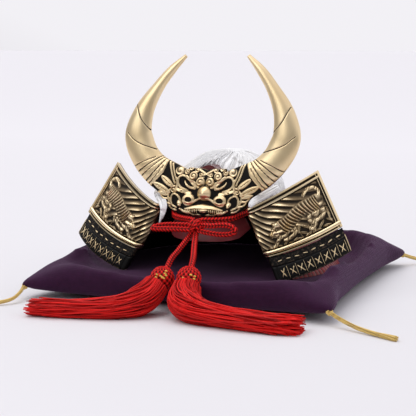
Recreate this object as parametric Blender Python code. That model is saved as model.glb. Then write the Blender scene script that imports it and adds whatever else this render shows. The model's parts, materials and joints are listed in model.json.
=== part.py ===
"""Miniature kabuto helmet with a horned lion-face crest, tied on a square display cushion.

Metres, +Z up. The origin is the centre of the cushion's underside, -Y is the front of the helmet and
+X is on the viewer's right. Lengths in the tables are shares of the named sizes they sit under.
"""
import math

import bmesh
import bpy
import numpy as np
from mathutils import Vector

MM = 0.001

# Clearance between pieces that touch
GAP = 0.3 * MM

# Cushion
CUSHION_SIDE = 200.0 * MM
CUSHION_SWELL = 34.0 * MM
CUSHION_SEAM = 8.0 * MM
CUSHION_SEAT = 12.9 * MM
CUSHION_FULLNESS = 6.0
CUSHION_PINCH = 0.03
CUSHION_PIPING = 1.2 * MM
# The dip that the helmet presses into the cushion: its reach in shares of the guard's half width, the
# wings' front and the guard's half length, the squareness of its outline, and where the cushion starts
# to rise and is full again in shares of that reach
DIP_REACH_SIDE = 1.13
DIP_REACH_FRONT = 1.36
DIP_REACH_BACK = 1.15
DIP_SQUARENESS = 3.0
DIP_RAMP_FRONT = (1.10, 1.62)
DIP_RAMP_BACK = (1.03, 1.16)
# Where the front ramp changes into the back one, in shares of the wings' front
DIP_TURN = (-1.35, -0.80)
CORNER_TASSEL_LENGTH = 50.0 * MM
CORNER_TASSEL_THICK = 2.7 * MM

# Bowl
BOWL_HALF_WIDTH = 37.0 * MM
BOWL_HALF_LENGTH = 40.0 * MM
BOWL_CENTRE_Y = 3.0 * MM
# Height of the bowl's rim above the hem, as a share of the wings' height
BOWL_RIM_SHARE = 0.615
BOWL_RISE = 31.0 * MM
BOWL_WALL = 2.0 * MM
BOWL_SQUARENESS = 2.2

# Visor
VISOR_HALF_WIDTH = 27.5 * MM
VISOR_TOP_HALF_WIDTH = 20.0 * MM
VISOR_DROP = 21.0 * MM
VISOR_REACH = 14.5 * MM
VISOR_WALL = 1.8 * MM
VISOR_CORNER_SHARE = 0.7
VISOR_SIDE_REACH_LOSS = 0.25

# Neck guard
LAME_COUNT = 4
LAME_WALL = 1.6 * MM
LAME_STEP = 2.3 * MM
LAME_OVERLAP = 1.5 * MM
GUARD_HALF_WIDTH = 73.0 * MM
GUARD_HALF_LENGTH = 68.0 * MM

# Turned-back cheek plates
WING_HALF_SPAN = 96.4 * MM
WING_FRONT = 53.9 * MM
WING_HEIGHT = 68.0 * MM
WING_WALL = 1.6 * MM
WING_TURN_RADIUS = 3.5 * MM
WING_TURN_ANGLE = math.radians(135.0)
WING_RETURN = 9.0 * MM
WING_RETURN_FALL = 2.6 * MM
WING_RIM = 1.1 * MM
WING_RELIEF = 1.6 * MM
BAND_WALL = 1.4 * MM
BAND_SETBACK = 0.9 * MM

# Crest
CREST_HALF_SPREAD = 60.4 * MM
CREST_HEIGHT = 104.0 * MM
CREST_FOOT_DROP = 4.8 * MM
CREST_STANDOFF = 7.4 * MM
CREST_LEAN = 0.22
CREST_THICK = 5.2 * MM
FACE_RELIEF = 4.2 * MM
HOLDER_HALF_WIDTH = 7.5 * MM
HOLDER_HEIGHT = 24.5 * MM

# Hair
HAIR_STANDOFF = 1.15 * MM
HAIR_THICK = 6.0 * MM
HAIR_LOCKS = 22
HAIR_HEM_RISE = 1.4 * MM
# Level of the hair's edge over the crest holder, and the degrees from the front between which it falls
HAIR_FRONT_LEVEL = 0.74
HAIR_FRONT_FALL = (18.0, 62.0)
LOCK_THICK = 2.6 * MM
LOCK_ROOT_TURN = math.radians(64.0)
LOCK_ROOT_LEVEL = 0.26
LOCK_DROP_LEFT = 10.3 * MM
LOCK_DROP_RIGHT = 3.2 * MM

# Red cord and its tassels
CORD_DIAMETER = 3.4 * MM
KNOT_WIDTH = 8.8 * MM
KNOT_HEIGHT = 8.0 * MM
KNOT_DEPTH = 7.2 * MM
TASSEL_HEAD_DIAMETER = 15.4 * MM
SKIRT_WIDTH = 15.0 * MM
SKIRT_LOCKS = 7

HEM_Z = CUSHION_SEAT + GAP
BOWL_RIM_Z = HEM_Z + BOWL_RIM_SHARE * WING_HEIGHT
CREST_FOOT_Z = BOWL_RIM_Z - CREST_FOOT_DROP
CREST_FRONT = BOWL_HALF_LENGTH - BOWL_CENTRE_Y + CREST_STANDOFF

# Corners of the cheek plates: shares of WING_HALF_SPAN, WING_FRONT and WING_HEIGHT above the hem
WING_LEVELS = (
    # name, inner x, y, z, belly x, y, z, outer x, y, z
    ("top", 0.355, 0.868, 0.673, 0.533, 0.788, 0.803, 0.729, 0.430, 1.000),
    ("rim", 0.493, 0.924, 0.222, 0.735, 0.891, 0.325, 0.924, 0.581, 0.500),
    ("hem", 0.567, 0.998, 0.000, 0.830, 0.960, 0.115, 1.000, 0.655, 0.291),
)

# Half of the crescent from the middle of the face to the tip of the horn:
# x share of CREST_HALF_SPREAD, z share of CREST_HEIGHT, half width share of CREST_HALF_SPREAD,
# thickness share of CREST_THICK, roundness of the section (0 flat face, 1 full horn)
CRESCENT = (
    ("face middle", 0.000, 0.134, 0.230, 0.55, 0.0),
    ("face notch", 0.075, 0.147, 0.252, 0.55, 0.0),
    ("brow", 0.182, 0.152, 0.251, 0.55, 0.0),
    ("cheek", 0.298, 0.164, 0.240, 0.60, 0.1),
    ("ear", 0.421, 0.215, 0.189, 0.75, 0.4),
    ("horn root", 0.613, 0.280, 0.166, 0.95, 0.9),
    ("horn bend", 0.748, 0.358, 0.159, 1.00, 1.0),
    ("horn widest", 0.834, 0.450, 0.161, 1.00, 1.0),
    ("horn side", 0.854, 0.532, 0.147, 1.00, 1.0),
    ("horn upper", 0.796, 0.661, 0.108, 0.85, 1.0),
    ("horn neck", 0.662, 0.796, 0.068, 0.65, 1.0),
    ("horn end", 0.520, 0.904, 0.050, 0.50, 1.0),
    ("horn tip", 0.361, 0.996, 0.020, 0.30, 1.0),
)

# Raised lumps of the lion face: x share of CREST_HALF_SPREAD, z share of CREST_HEIGHT,
# half width and half height shares of CREST_HALF_SPREAD, height share of FACE_RELIEF
FACE_LUMPS = (
    ("nose", 0.000, 0.149, 0.085, 0.075, 1.00),
    ("nostril", 0.180, 0.106, 0.085, 0.050, 0.50),
    ("inner brow", 0.060, 0.215, 0.060, 0.055, 0.62),
    ("outer brow", 0.150, 0.243, 0.070, 0.050, 0.50),
    ("cheek", 0.300, 0.120, 0.070, 0.080, 0.35),
    ("eye", 0.185, 0.190, 0.075, 0.040, 0.25),
    ("lip", 0.000, 0.078, 0.200, 0.045, 0.40),
    ("tusk", 0.285, 0.068, 0.045, 0.055, 0.40),
    ("ear leaf", 0.470, 0.190, 0.090, 0.070, 0.30),
)

# Crouching tiger on each cheek plate: s along the plate from its outer edge (0) to the turn (1),
# t down the plate from the upper rim (0) to the lower rim (1), radius, height share of WING_RELIEF
TIGER_LUMPS = (
    ("tail", 0.17, 0.20, 0.07, 0.45),
    ("haunch", 0.27, 0.36, 0.12, 1.00),
    ("back", 0.43, 0.42, 0.11, 0.80),
    ("shoulder", 0.58, 0.52, 0.12, 0.95),
    ("head", 0.72, 0.62, 0.10, 1.00),
    ("hind leg", 0.32, 0.62, 0.10, 0.60),
    ("fore leg", 0.60, 0.76, 0.10, 0.60),
    ("grass", 0.40, 0.80, 0.10, 0.45),
)

# Way of a pointed lock of hair past the inner top corner of its cheek plate, from that corner:
# outward, backward and upward shares of LOCK_THICK, thickness share
LOCK_WAY = (
    ("behind the corner", -1.15, 2.42, 0.10, 0.90),
    ("over the corner", -1.69, -0.35, 0.75, 1.00),
    ("before the corner", -2.12, -1.81, -0.30, 1.00),
    ("tip", -2.73, -1.96, -1.02, 0.12),
)

# Routes of the red cord, in millimetres, with the bowl's rim at CORD_LAYOUT_RIM. They rise and fall
# with the rim. The right hand side of the loop is the left one mirrored.
CORD_LAYOUT_RIM = 55.02 * MM
CHIN_CORD_ROUTE = (
    (-3.7, -54.7, 49.8), (-8.0, -52.7, 49.8), (-14.0, -49.4, 49.8), (-19.6, -45.0, 50.3),
    (-23.2, -38.0, 51.6), (-26.0, -28.0, 52.6), (-29.5, -16.0, 52.6), (-32.2, 0.0, 52.6),
    (-29.5, 18.0, 52.6), (-20.0, 32.0, 52.6), (0.0, 38.2, 52.6),
)
BOW_KNOT_CENTRE = (0.0, -57.0, 46.4)
BOW_LOOP_LEFT_ROUTE = (
    (-5.0, -57.2, 46.6), (-12.0, -57.9, 46.6), (-20.0, -58.3, 46.2), (-26.2, -58.6, 45.2),
    (-28.6, -60.0, 44.2), (-26.4, -61.8, 43.6), (-19.0, -62.0, 43.9), (-11.0, -61.2, 44.1),
    (-3.7, -59.9, 44.0),
)
BOW_LOOP_RIGHT_ROUTE = (
    (5.0, -57.3, 47.0), (11.0, -58.6, 47.1), (17.0, -59.2, 48.0), (22.5, -59.6, 48.2),
    (26.6, -60.0, 46.7), (27.4, -60.3, 44.4), (24.0, -60.5, 42.8), (17.0, -60.3, 42.2),
    (10.5, -59.7, 42.6), (4.1, -58.6, 43.4),
)
CORD_TAIL_LEFT_ROUTE = (
    (-3.6, -58.6, 40.1), (-4.2, -61.6, 38.2), (-4.6, -67.0, 35.9), (-5.0, -76.0, 32.4), (-5.2, -85.0, 29.4),
)
CORD_TAIL_RIGHT_ROUTE = (
    (0.5, -58.8, 40.3), (1.4, -61.8, 38.4), (3.0, -67.0, 36.4), (6.2, -76.0, 33.4), (9.4, -85.0, 30.8),
)
TASSEL_HEAD_LEFT = (-4.0, -102.3, 20.2)
TASSEL_HEAD_RIGHT = (13.5, -102.4, 21.6)
# Middle line of each tassel skirt below its head with its half width and half height
SKIRT_LEFT_ROUTE = (
    (-8.8, -113.0, 11.8, 9.0, 7.2), (-13.0, -119.5, 8.4, 9.8, 7.4), (-20.5, -125.6, 6.5, 8.6, 6.2),
    (-32.0, -130.8, 5.4, 7.4, 5.2), (-47.0, -134.2, 4.8, 6.9, 4.6), (-62.0, -136.6, 4.4, 6.8, 4.2),
    (-76.0, -138.0, 3.8, 6.4, 3.6),
)
SKIRT_RIGHT_ROUTE = (
    (15.2, -113.2, 12.6, 9.0, 7.2), (19.4, -118.6, 8.9, 9.8, 7.6), (28.0, -122.8, 6.8, 8.6, 6.4),
    (42.0, -125.6, 5.7, 7.4, 5.4), (58.0, -127.0, 5.0, 6.9, 4.8), (76.0, -127.0, 4.5, 6.8, 4.3),
    (92.0, -126.0, 4.0, 6.4, 3.8),
)
# Ways that the corner tassels lie, from each corner of the cushion: x and y shares of
# CORNER_TASSEL_LENGTH outward from the corner, height above the floor in CORNER_TASSEL_THICK
CORNER_TASSELS = (
    ("corner_tassel_1", (-1, -1), ((-0.02, 0.18, 2.30), (0.00, 0.36, 1.20), (0.14, 0.50, 0.62),
                                   (0.40, 0.60, 0.55), (0.70, 0.68, 0.55))),
    ("corner_tassel_2", (1, -1), ((0.16, 0.10, 1.90), (0.38, 0.22, 1.00), (0.62, 0.34, 0.60),
                                  (0.78, 0.42, 0.55), (0.90, 0.48, 0.55))),
    ("corner_tassel_3", (1, 1), ((0.16, 0.10, 1.90), (0.38, 0.20, 1.00), (0.60, 0.26, 0.60),
                                 (0.78, 0.30, 0.55), (0.94, 0.33, 0.55))),
    ("corner_tassel_4", (-1, 1), ((0.16, 0.08, 1.90), (0.38, 0.14, 1.00), (0.62, 0.17, 0.60),
                                  (0.80, 0.16, 0.55), (0.97, 0.12, 0.55))),
)


def material(name, colour, roughness, metallic=0.0, coat=0.0):
    """Principled material with one plain colour."""
    made = bpy.data.materials.new(name)
    made.use_nodes = True
    shader = made.node_tree.nodes["Principled BSDF"]
    shader.inputs["Base Color"].default_value = (*colour, 1.0)
    shader.inputs["Roughness"].default_value = roughness
    shader.inputs["Metallic"].default_value = metallic
    shader.inputs["Coat Weight"].default_value = coat
    made.diffuse_color = (*colour, 1.0)
    return made


def brass(name):
    """Pale antique brass of the castings."""
    return material(name, (0.78, 0.63, 0.38), 0.32, metallic=1.0)


def lacquer(name, colour):
    """Glossy lacquer."""
    return material(name, colour, 0.18, coat=0.6)


def thread(name, colour):
    """Dull textile."""
    return material(name, colour, 0.85)


RED_THREAD = (0.62, 0.02, 0.015)
RED_LACQUER = (0.22, 0.012, 0.014)
BLACK_LACQUER = (0.012, 0.011, 0.010)


def in_metres(route):
    """A route given in millimetres as arrays in metres."""
    return [np.array(point, dtype=float) * MM for point in route]


def hung(route):
    """A cord's route in metres, as high as the bowl's rim holds it."""
    return [point * np.array([1.0, 1.0, BOWL_RIM_Z / CORD_LAYOUT_RIM]) for point in in_metres(route)]


def along(rows, t):
    """Value at t (0 to 1) of a smooth curve through rows, which may have any number of columns."""
    spans = len(rows) - 1
    place = min(max(t, 0.0), 1.0) * spans
    i = min(int(place), spans - 1)
    f = place - i
    here, after = rows[i], rows[i + 1]
    before = rows[i - 1] if i > 0 else 2 * here - after
    beyond = rows[i + 2] if i + 2 <= spans else 2 * after - here
    return 0.5 * (2 * here + (after - before) * f
                  + (2 * before - 5 * here + 4 * after - beyond) * f ** 2
                  + (3 * here - before - 3 * after + beyond) * f ** 3)


def evenly(rows, spacing):
    """Points of the smooth curve through rows, about one spacing apart along it."""
    fine = np.array([along(rows, i / 400) for i in range(401)])
    steps = np.linalg.norm(np.diff(fine[:, :3], axis=0), axis=1)
    travelled = np.concatenate([[0.0], np.cumsum(steps)])
    count = max(3, round(travelled[-1] / spacing) + 1)
    places = np.linspace(0.0, travelled[-1], count)
    return [np.array([np.interp(place, travelled, fine[:, column]) for column in range(fine.shape[1])])
            for place in places]


def smoothstep(low, high, value):
    """0 below low, 1 above high and a smooth step between them."""
    share = min(max((value - low) / (high - low), 0.0), 1.0)
    return share * share * (3.0 - 2.0 * share)


def spread(count, low=0.0, high=1.0):
    """Stations from low to high in so many equal steps."""
    return [low + (high - low) * i / count for i in range(count + 1)]


def mirrored(route):
    """The same route on the other side of the helmet, run backwards."""
    return [point * np.array([-1.0, 1.0, 1.0]) for point in reversed(route)]


def new_piece(name, mesh_builder, look, sharp_angle=40.0):
    """Object made from a finished bmesh, with its faces turned out and its edges smoothed."""
    bmesh.ops.remove_doubles(mesh_builder, verts=mesh_builder.verts, dist=1e-7)
    bmesh.ops.recalc_face_normals(mesh_builder, faces=mesh_builder.faces)
    if mesh_builder.calc_volume(signed=True) < 0.0:
        bmesh.ops.reverse_faces(mesh_builder, faces=mesh_builder.faces)
    mesh = bpy.data.meshes.new(name)
    mesh_builder.to_mesh(mesh)
    mesh_builder.free()
    mesh.shade_smooth()
    mesh.set_sharp_from_angle(angle=math.radians(sharp_angle))
    mesh.materials.append(look)
    piece = bpy.data.objects.new(name, mesh)
    bpy.context.scene.collection.objects.link(piece)
    return piece


def mapped_grid(builder, us, vs, point):
    """Grid of faces bent so that its corners lie at point(u, v). Returns its corners by index."""
    made = bmesh.ops.create_grid(builder, x_segments=len(us) - 1, y_segments=len(vs) - 1, size=0.5)
    corners = {}
    for vert in made["verts"]:
        i = round((vert.co.x + 0.5) * (len(us) - 1))
        j = round((vert.co.y + 0.5) * (len(vs) - 1))
        corners[i, j] = vert
    for (i, j), vert in corners.items():
        vert.co = Vector(point(us[i], vs[j]))
    return corners


def shell(name, us, vs, outer, inner, look, rims=("u0", "u1", "v0", "v1"), sharp_angle=40.0):
    """Closed wall between two mapped grids, joined along the named rims."""
    builder = bmesh.new()
    outside = mapped_grid(builder, us, vs, outer)
    inside = mapped_grid(builder, us, vs, inner)
    last_u, last_v = len(us) - 1, len(vs) - 1
    edges = {
        "u0": [(0, j) for j in range(last_v + 1)],
        "u1": [(last_u, j) for j in range(last_v + 1)],
        "v0": [(i, 0) for i in range(last_u + 1)],
        "v1": [(i, last_v) for i in range(last_u + 1)],
    }
    for rim in rims:
        for a, b in zip(edges[rim][:-1], edges[rim][1:]):
            builder.faces.new((outside[a], outside[b], inside[b], inside[a]))
    return new_piece(name, builder, look, sharp_angle)


def lofted(name, around, stations, point, look, sharp_angle=40.0):
    """Solid bar whose section at each station is a closed ring of points, with flat ends."""
    builder = bmesh.new()
    mapped_grid(builder, spread(around), stations, point)
    bmesh.ops.remove_doubles(builder, verts=builder.verts, dist=1e-7)
    open_edges = [edge for edge in builder.edges if edge.is_boundary]
    bmesh.ops.holes_fill(builder, edges=open_edges, sides=0)
    return new_piece(name, builder, look, sharp_angle)


def pillow_share(u, v):
    """Share of the cushion's full thickness over its plan, 0 at the seam."""
    across = max(0.0, 1.0 - abs(u) ** CUSHION_FULLNESS)
    along_side = max(0.0, 1.0 - abs(v) ** CUSHION_FULLNESS)
    return math.sqrt(across * along_side)


def footprint(x, y):
    """Distance measure from the middle of the helmet, about 1 at its lowest edge."""
    reach_x = DIP_REACH_SIDE * GUARD_HALF_WIDTH
    ahead = y < BOWL_CENTRE_Y
    reach_y = DIP_REACH_FRONT * WING_FRONT if ahead else DIP_REACH_BACK * GUARD_HALF_LENGTH
    aside = (abs(x) / reach_x) ** DIP_SQUARENESS
    away = (abs(y - BOWL_CENTRE_Y) / reach_y) ** DIP_SQUARENESS
    return (aside + away) ** (1.0 / DIP_SQUARENESS)


def cushion_plan(u, v):
    """Place of a point of the cushion, with its sides drawn in between the corners."""
    half = CUSHION_SIDE / 2
    return half * u * (1 - CUSHION_PINCH * (1 - v * v)), half * v * (1 - CUSHION_PINCH * (1 - u * u))


def cushion_seam(u, v):
    """Height of the cushion's seam, lowest at the corners."""
    return CUSHION_SEAM * (1.0 + 0.5 * (1.0 - min(abs(u), abs(v)) ** 2))


def cushion_top(u, v):
    """Top of the cushion, pressed down under the helmet."""
    x, y = cushion_plan(u, v)
    seam = cushion_seam(u, v)
    full = seam + CUSHION_PIPING / 2 + (CUSHION_SWELL - seam) * pillow_share(u, v)
    if full > CUSHION_SEAT:
        behind = smoothstep(*DIP_TURN, y / WING_FRONT)
        low, high = (front + (back - front) * behind
                     for front, back in zip(DIP_RAMP_FRONT, DIP_RAMP_BACK))
        full = CUSHION_SEAT + (full - CUSHION_SEAT) * smoothstep(low, high, footprint(x, y))
    return x, y, full


def cushion_base(u, v):
    """Underside of the cushion, flat on the floor inside its rounded edge."""
    x, y = cushion_plan(u, v)
    lift = cushion_seam(u, v) * (1.0 - 1.25 * pillow_share(u, v)) - CUSHION_PIPING / 2
    return x, y, max(0.0, lift)


def make_cushion():
    """Square cushion with closed rounded edges."""
    stations = [math.sin(math.pi / 2 * share) for share in spread(16, -1.0, 1.0)]
    shell("cushion", stations, stations, cushion_top, cushion_base,
          material("purple fabric", (0.055, 0.018, 0.09), 0.75), sharp_angle=80.0)


def bar_ring(rows, lobes=0, lobe_depth=0.0):
    """Point function of a bar along rows of x, y, z, half width and half height, kept off the floor."""
    def point(turn, t):
        row = along(rows, t)
        step = along(rows, min(t + 0.01, 1.0)) - along(rows, max(t - 0.01, 0.0))
        ahead = Vector(step[:3]).normalized()
        side = ahead.cross(Vector((0.0, 0.0, 1.0))).normalized()
        above = side.cross(ahead)
        angle = 2 * math.pi * turn
        size = 1.0 + lobe_depth * math.cos(lobes * angle)
        place = Vector(row[:3]) + side * (row[3] * size * math.cos(angle)) \
            + above * (row[4] * size * math.sin(angle))
        place.z = max(place.z, 0.0)
        return place
    return point


def make_corner_tassels():
    """Four bundles of yellow threads, each knotted at a corner of the cushion."""
    look = thread("yellow thread", (0.72, 0.52, 0.16))
    half = CUSHION_SIDE / 2
    radius = CORNER_TASSEL_THICK / 2
    for name, (side_x, side_y), way in CORNER_TASSELS:
        start = np.array([side_x * (half + GAP), side_y * (half + GAP), CUSHION_SEAM])
        knot = start + np.array([side_x, side_y, -0.3]) * radius
        rows = [np.array([*start, 0.55 * radius, 0.55 * radius]),
                np.array([*knot, 1.65 * radius, 1.65 * radius])]
        for out_x, out_y, height in way:
            place = start + np.array([side_x * out_x, side_y * out_y, 0.0]) * CORNER_TASSEL_LENGTH
            rows.append(np.array([place[0], place[1], height * CORNER_TASSEL_THICK, radius, radius]))
        rows[-1][3] *= 1.5
        lofted(name, 6, spread(12), bar_ring(rows), look, sharp_angle=70.0)


def bowl_point(theta, level, grow):
    """Point of the bowl's surface grown by a clearance; level 0 is its rim and 1 its top."""
    angle = level * math.pi / 2
    ring = max(0.0, math.cos(angle)) ** (2.0 / BOWL_SQUARENESS)
    rise = math.sin(angle) ** (2.0 / BOWL_SQUARENESS)
    return ((BOWL_HALF_WIDTH + grow) * ring * math.cos(theta),
            BOWL_CENTRE_Y + (BOWL_HALF_LENGTH + grow) * ring * math.sin(theta),
            BOWL_RIM_Z + (BOWL_RISE + grow) * rise)


def bowl_front(x, z, grow):
    """y of the bowl's front surface, grown by a clearance, at a place beside its middle."""
    rise = min(max((z - BOWL_RIM_Z) / (BOWL_RISE + grow), 0.0), 1.0)
    ring = (1.0 - rise ** BOWL_SQUARENESS) ** (1.0 / BOWL_SQUARENESS)
    aside = min(abs(x) / (BOWL_HALF_WIDTH + grow), ring)
    return BOWL_CENTRE_Y - (BOWL_HALF_LENGTH + grow) * math.sqrt(ring ** 2 - aside ** 2)


def make_bowl():
    """Hollow shell of the helmet, open below."""
    turns = spread(28, 0.0, 2 * math.pi)
    shell("bowl", turns, spread(6), lambda a, b: bowl_point(a, b, 0.0),
          lambda a, b: bowl_point(a, b, -BOWL_WALL), lacquer("dark red lacquer", RED_LACQUER), rims=("v0",))


def visor_point(depth):
    """Point function of one face of the visor: u across it, v from the bowl down to its edge."""
    def point(u, v):
        top_x = u * VISOR_TOP_HALF_WIDTH
        low_x = u * VISOR_HALF_WIDTH
        corner = VISOR_CORNER_SHARE + (1 - VISOR_CORNER_SHARE) * math.sqrt(max(0.0, 1.0 - abs(u) ** 6))
        reach = v * corner
        x = top_x + (low_x - top_x) * v
        forward = VISOR_REACH * (1 - VISOR_SIDE_REACH_LOSS * u * u) * reach ** 2
        y = bowl_front(x, BOWL_RIM_Z, GAP + depth) - forward
        z = BOWL_RIM_Z + VISOR_WALL - VISOR_DROP * reach
        return x, y, z
    return point


def make_visor():
    """Brim that curves down and forward from the bowl's front."""
    shell("visor", spread(14, -1.0, 1.0), spread(5), visor_point(VISOR_WALL), visor_point(0.0),
          lacquer("visor lacquer", (0.16, 0.01, 0.012)))


def wing_corner(level, column):
    """Inner corner, belly or outer corner of the cheek plate's edge at a level from 0 to 2."""
    places = [np.array(row[1 + 3 * column:4 + 3 * column]) for row in WING_LEVELS]
    lower = min(int(level), 1)
    share = level - lower
    at = places[lower] * (1 - share) + places[lower + 1] * share
    return np.array([at[0] * WING_HALF_SPAN, -at[1] * WING_FRONT, HEM_Z + at[2] * WING_HEIGHT])


def turned(vector, angle):
    """A plan vector turned by an angle."""
    cosine, sine = math.cos(angle), math.sin(angle)
    return np.array([cosine * vector[0] - sine * vector[1], sine * vector[0] + cosine * vector[1]])


def wing_middle(s, level):
    """Middle of the right cheek plate: s 0 to 1 over the plate, 1 to 2 round the turn, 2 to 3 back."""
    inner, belly, outer = (wing_corner(level, column) for column in range(3))
    if s <= 1.0:
        return (1 - s) ** 2 * outer + 2 * s * (1 - s) * belly + s ** 2 * inner
    heading = (inner - belly)[:2]
    run = np.linalg.norm(heading)
    heading = heading / run
    fall = (belly - inner)[2] / run * (1.0 - level / 2.0)
    toward_centre = np.array([heading[1], -heading[0]])
    centre = inner[:2] + toward_centre * WING_TURN_RADIUS
    angle = WING_TURN_ANGLE * min(s - 1.0, 1.0)
    plan = centre + turned(-toward_centre * WING_TURN_RADIUS, -angle)
    height = inner[2] - fall * WING_TURN_RADIUS * math.sin(min(angle, math.pi / 2))
    if s > 2.0:
        plan = plan + turned(heading, -WING_TURN_ANGLE) * WING_RETURN * (s - 2.0)
        height -= WING_RETURN_FALL * (s - 2.0) * (1.0 - level / 2.0)
    return np.array([plan[0], plan[1], height])


def wing_normal(s, level):
    """Direction that the cheek plate's decorated face looks in."""
    step = 0.01
    top, bottom = max(level - step, 0.0), min(level + step, 2.0)
    run = wing_middle(min(s + step, 3.0), level) - wing_middle(max(s - step, 0.0), level)
    drop = wing_middle(s, bottom) - wing_middle(s, top)
    normal = np.cross(run, drop)
    return normal / np.linalg.norm(normal)


def wing_relief(s, t):
    """Height of the casting above the plate's ground: rims on three sides and the tiger."""
    if s <= 1.0:
        if t < 0.08 or s < 0.06:
            return WING_RIM
        if t > 0.88:
            return WING_RIM * (1.0 + 0.35 * math.sin(math.pi * min((t - 0.88) / 0.12, 1.0)))
        return WING_RELIEF * max(height * math.exp(-((s - at_s) ** 2 + (t - at_t) ** 2) / radius ** 2)
                                 for _, at_s, at_t, radius, height in TIGER_LUMPS)
    if t < 0.08 or t > 0.88:
        return WING_RIM * max(0.0, 2.0 - s)
    return 0.0


def wing_face(side, height):
    """Point function of a face of the cheek plate on one side, at a height along its normal."""
    def point(s, level):
        lift = height(s, level)
        place = wing_middle(s, level) + wing_normal(s, level) * lift
        return side * place[0], place[1], max(place[2], HEM_Z)
    return point


def make_wings():
    """Turned-back cheek plates, each with its lacquered lower band."""
    along_plate = [0.0, 0.045, 0.075, 0.16, 0.25, 0.34, 0.43, 0.52, 0.61, 0.70, 0.79, 0.90, 1.0,
                   1.25, 1.5, 1.75, 2.0, 3.0]
    down_plate = [0.0, 0.065, 0.095, 0.20, 0.31, 0.42, 0.53, 0.64, 0.75, 0.85, 0.885, 0.94, 1.0]
    band_drop = (wing_corner(1.0, 0) - wing_corner(2.0, 0))[2]
    down_band = [1.0 + 1.3 * GAP / band_drop, 1.3, 1.65, 2.0]
    band_stations = [0.0, 0.12, 0.25, 0.38, 0.51, 0.64, 0.77, 0.90, 1.0, 1.25, 1.5, 1.75, 2.0, 3.0]
    for side, word in ((-1, "left"), (1, "right")):
        shell(f"wing_{word}", along_plate, down_plate, wing_face(side, wing_relief),
              wing_face(side, lambda s, t: -WING_WALL), brass(f"antique brass {word}"), sharp_angle=30.0)
        shell(f"wing_band_{word}", band_stations, down_band, wing_face(side, lambda s, t: -BAND_SETBACK),
              wing_face(side, lambda s, t: -BAND_SETBACK - BAND_WALL),
              lacquer(f"black lacquer {word}", BLACK_LACQUER))


def guard_plan(level):
    """Front end, side reach and back reach of the neck guard's inner face at a level from 0 to 2."""
    end = wing_middle(3.0, level)
    top, bottom = wing_middle(3.0, 0.0)[2], wing_middle(3.0, 2.0)[2]
    flare = (top - end[2]) / (top - bottom)
    snug = GAP + 0.25 * LAME_WALL
    side = BOWL_HALF_WIDTH + snug + (GUARD_HALF_WIDTH - BOWL_HALF_WIDTH - snug) * flare
    back = BOWL_HALF_LENGTH + snug + (GUARD_HALF_LENGTH - BOWL_HALF_LENGTH - snug) * flare
    return end, side, back


def guard_line(w, level):
    """Plan of the neck guard: w 0 at the left front end, 1 and 2 at the sides, 3 at the right end."""
    end, side, back = guard_plan(level)
    if 1.0 <= w <= 2.0:
        angle = math.pi * (2.0 - w)
        return np.array([side * math.cos(angle), BOWL_CENTRE_Y + back * math.sin(angle)])
    share = 1.0 - w if w < 1.0 else w - 2.0
    hand = -1.0 if w < 1.0 else 1.0
    front = end[1] + 1.6 * GAP
    x = side + (end[0] - side) * share ** 2
    return np.array([hand * x, BOWL_CENTRE_Y + (front - BOWL_CENTRE_Y) * share])


def guard_face(depth):
    """Point function of one face of a lame, whose rows hold a level and a share of the step outward."""
    def point(w, row):
        level, stepped = row
        step = 0.02
        run = guard_line(min(w + step, 3.0), level) - guard_line(max(w - step, 0.0), level)
        outward = np.array([-run[1], run[0]]) / np.linalg.norm(run)
        plan = guard_line(w, level) + outward * (LAME_STEP * stepped + depth)
        height = guard_plan(level)[0][2]
        return plan[0], plan[1], height
    return point


def level_at(height):
    """Level from 0 to 2 at which the neck guard has a height."""
    low, high = 0.0, 2.0
    for _ in range(40):
        middle = (low + high) / 2
        if guard_plan(middle)[0][2] > height:
            low = middle
        else:
            high = middle
    return (low + high) / 2


def make_lames():
    """Neck guard of shingled bands from the bowl's rim to the hem."""
    bounds = spread(LAME_COUNT - 1) + [2.0]
    stations = [0.0, 0.33, 0.66, *spread(14, 1.0, 2.0), 2.34, 2.67, 3.0]
    for i in range(LAME_COUNT):
        first, last = bounds[i], bounds[i + 1]
        top = level_at(guard_plan(first)[0][2] + (LAME_OVERLAP if i else 0.0))
        knee = level_at(guard_plan(last)[0][2] + LAME_OVERLAP * 1.2)
        rows = [(top, 0.0), (max(first, top + 1e-3), 0.0), (knee, 1.0), (last, 1.0)]
        shell(f"lame_{i + 1}", stations, rows, guard_face(LAME_WALL), guard_face(0.0),
              lacquer(f"lame lacquer {i + 1}", RED_LACQUER), sharp_angle=30.0)


def crest_ground(z):
    """y of the flat back of the crest, which leans back as it rises."""
    return -CREST_FRONT + 0.55 * CREST_THICK + CREST_LEAN * (z - CREST_FOOT_Z)


def crest_row(c):
    """Centre, half width, thickness, roundness and tangent of the crescent, c from -1 to 1."""
    rows = [np.array(row[1:]) for row in CRESCENT]
    share = abs(c)
    here = along(rows, share)
    step = along(rows, min(share + 0.004, 1.0)) - along(rows, max(share - 0.004, 0.0))
    if share < 0.004:
        step = np.array([1.0, 0.0, 0.0, 0.0, 0.0])
    tangent = Vector((step[0] * CREST_HALF_SPREAD, step[1] * CREST_HEIGHT)).normalized()
    return here, tangent


def face_relief(x, z):
    """Height of the lion face above the crest's ground."""
    across, up = abs(x) / CREST_HALF_SPREAD, (z - CREST_FOOT_Z) / CREST_HEIGHT
    squeeze = CREST_HEIGHT / CREST_HALF_SPREAD
    return FACE_RELIEF * max(
        height * math.exp(-((across - at_x) / wide) ** 2 - ((up - at_z) * squeeze / tall) ** 2)
        for _, at_x, at_z, wide, tall, height in FACE_LUMPS)


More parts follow.
